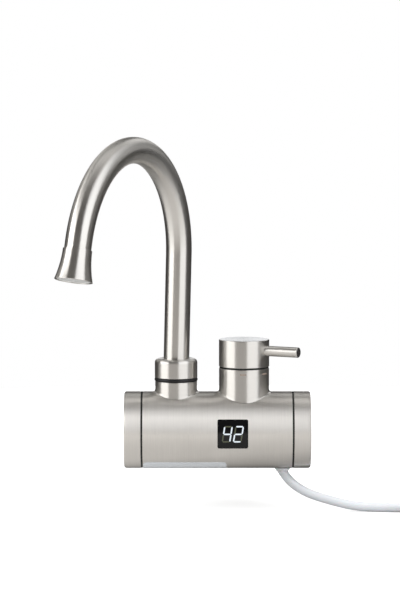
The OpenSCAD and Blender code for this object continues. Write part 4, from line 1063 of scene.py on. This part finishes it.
def floor_material():
    """White paint with a glow for the camera, so that only shadows darken it. In metal it shows painted
    levels
    of its own: painted shade near the tap, and a painted dark side at the back and right in place of a
    black flag."""
    material = bpy.data.materials.new("floor_white")
    material.use_nodes = True
    tree = material.node_tree
    principled = tree.nodes["Principled BSDF"]
    principled.inputs["Base Color"].default_value = FLOOR_GREY
    place = add_node(tree, "TexCoord").outputs["Object"]
    mottled = noise(tree, place, scale=6)
    tree.links.new(math_node(tree, "MULTIPLY_ADD", mottled, 0.1, 0.75), principled.inputs["Roughness"])
    camera_ray, metal_ray = ray_masks(tree)
    away = add_node(tree, "VectorMath", {0: place}, operation="LENGTH").outputs["Value"]
    aside = add_node(tree, "VectorMath", {0: place, 1: PAINTED_SHADE_WAY}, operation="DOT_PRODUCT").outputs["Value"]
    glow = math_node(tree, "MULTIPLY", camera_ray, ramp(tree, away, *GLOW_BY_DISTANCE))
    level = math_node(
        tree, "MULTIPLY", ramp(tree, away, *LEVEL_BY_DISTANCE), ramp(tree, aside, *PAINTED_SHADE_BY_WAY),
    )
    glowing_floor = add_node(tree, "Emission", {"Color": WHITE, "Strength": glow})
    lit = add_node(tree, "AddShader", {0: principled.outputs[0], 1: glowing_floor.outputs[0]})
    mirrored = add_node(tree, "Emission", {"Color": FLOOR_IN_METAL, "Strength": level})
    total = add_node(tree, "MixShader", {0: metal_ray, 1: lit.outputs[0], 2: mirrored.outputs[0]})
    tree.links.new(total.outputs[0], tree.nodes["Material Output"].inputs["Surface"])
    return material


def floor_disc():
    """A round floor: one face whose points stand evenly on a circle."""
    angle = np.linspace(0, 2 * math.pi, FLOOR_SIDES + 1)[:-1]
    rim = np.column_stack([FLOOR_R * np.cos(angle), FLOOR_R * np.sin(angle), np.full(FLOOR_SIDES, FLOOR_Z)])
    disc = add_mesh("floor", rim, [list(range(FLOOR_SIDES))])
    disc.data.materials.append(floor_material())


def card(name, foot, top, elevations, level, distance):
    """A curved panel round the tap between two elevations: its azimuths (0 towards the camera, 90 to its
    right) go evenly from those of its foot to those of its top."""
    share = np.linspace(0, 1, CARD_ROWS)[:, None]
    left, right = (foot[side] + (top[side] - foot[side]) * share for side in (0, 1))
    azimuth = np.radians(left + (right - left) * np.linspace(0, 1, CARD_COLUMNS)[None, :])
    flat = np.stack([np.sin(azimuth), -np.cos(azimuth), 0 * azimuth], -1)
    rise = np.radians(elevations[0] + (elevations[1] - elevations[0]) * share)[:, :, None]
    points = CARD_AIM + distance * (flat * np.cos(rise) + np.sin(rise) * (0, 0, 1))
    corner = np.arange(CARD_ROWS * CARD_COLUMNS).reshape(CARD_ROWS, CARD_COLUMNS)
    faces = np.stack([corner[:-1, :-1], corner[1:, :-1], corner[1:, 1:], corner[:-1, 1:]], -1)
    obj = add_mesh(name, points.reshape(-1, 3), faces.reshape(-1, 4))
    material = bpy.data.materials.new(name)
    material.use_nodes = True
    tree = material.node_tree
    tree.nodes.remove(tree.nodes["Principled BSDF"])
    glow = add_node(tree, "Emission", {"Color": (*level, 1), "Strength": 1.0})
    tree.links.new(glow.outputs[0], tree.nodes["Material Output"].inputs["Surface"])
    obj.data.materials.append(material)
    for rays in ("camera", "diffuse", "transmission", "volume_scatter", "shadow"):
        setattr(obj, "visible_" + rays, False)


floor_disc()
for box, foot, top, elevations, level in (
    ("softbox_left", (-88, -43), (-93, -44), (-2, 8), (1.98, 1.96, 1.92)),
    ("softbox_left_top", (-93, -44), (-107, -45), (8, 37), (3.15, 3.12, 3.07)),
    ("softbox_right", (12, 62), (15, 72), (-2, 14), (1.80, 1.81, 1.83)),
    ("softbox_right_top", (15, 72), (14, 104), (14, 62), (1.56, 1.57, 1.59)),
):
    card(box, foot, top, elevations, level, BOX_DISTANCE)
for panel, azimuths, elevations, level in (
    ("card_dark_front", (-112, 30), (-2, 62), (0.10, 0.096, 0.092)),
    ("card_beige_front", (-43, 12), (-50, -2), (0.52, 0.47, 0.42)),
    ("card_pale_left", (-86, -43), (-50, -2), (1.40, 1.38, 1.34)),
    ("card_pale_right", (12, 66), (-50, -2), (1.24, 1.23, 1.21)),
    ("card_black_left", (-168, -86), (-50, -2), (0.03, 0.027, 0.025)),
    ("card_black_left_top", (-168, -112), (-2, 12), (0.03, 0.027, 0.025)),
    ("card_grey_left", (-168, -112), (12, 62), (0.46, 0.45, 0.43)),
    ("card_black_right", (66, 166), (-50, -2), (0.03, 0.028, 0.026)),
    ("card_black_right_top", (60, 168), (-2, 8), (0.03, 0.028, 0.026)),
    ("card_grey_right", (64, 143), (8, 62), (0.27, 0.265, 0.255)),
    ("card_dark_behind", (143, 168), (8, 24), (0.05, 0.05, 0.05)),
    ("card_pale_behind", (143, 168), (24, 46), (1.35, 1.34, 1.32)),
    ("card_black_behind", (168, 192), (12, 46), (0.04, 0.04, 0.04)),
    ("card_black_high", (143, 192), (46, 62), (0.04, 0.04, 0.04)),
    ("card_grey_behind", (84, 242), (62, 82), (1.25, 1.23, 1.20)),
    ("card_grey_top", (-118, 84), (62, 88), (0.27, 0.26, 0.245)),
):
    card(panel, azimuths, azimuths, elevations, level, CARD_DISTANCE)


def lamp(name, place, size, watts):
    """A square soft lamp aimed at the tap, which lights it and isn't mirrored in it."""
    data = bpy.data.lights.new(name, "AREA")
    data.size = size
    data.energy = watts
    obj = bpy.data.objects.new(name, data)
    obj.matrix_world = Matrix(axis_place(place, np.array(place) - CARD_AIM).tolist())
    obj.visible_glossy = False
    bpy.context.scene.collection.objects.link(obj)


lamp("lamp_key", (-1.3, -1.7, 1.9), size=1.4, watts=34)
lamp("lamp_fill", (1.5, -1.5, 1.3), size=1.6, watts=22)
lamp("lamp_top", (0.0, 0.2, 2.2), size=1.8, watts=22)


def white_world():
    """White where a background shows, and a soft even level for what lights the tap."""
    world = bpy.data.worlds.new("world")
    world.use_nodes = True
    tree = world.node_tree
    shown = math_node(tree, "MAXIMUM", *ray_masks(tree))
    strength = math_node(tree, "MULTIPLY_ADD", shown, 1 - SOFT_LEVEL, SOFT_LEVEL)
    background = tree.nodes["Background"]
    background.inputs["Color"].default_value = WHITE
    tree.links.new(strength, background.inputs["Strength"])
    bpy.context.scene.world = world


white_world()
bpy.context.scene.view_settings.view_transform = "Standard"
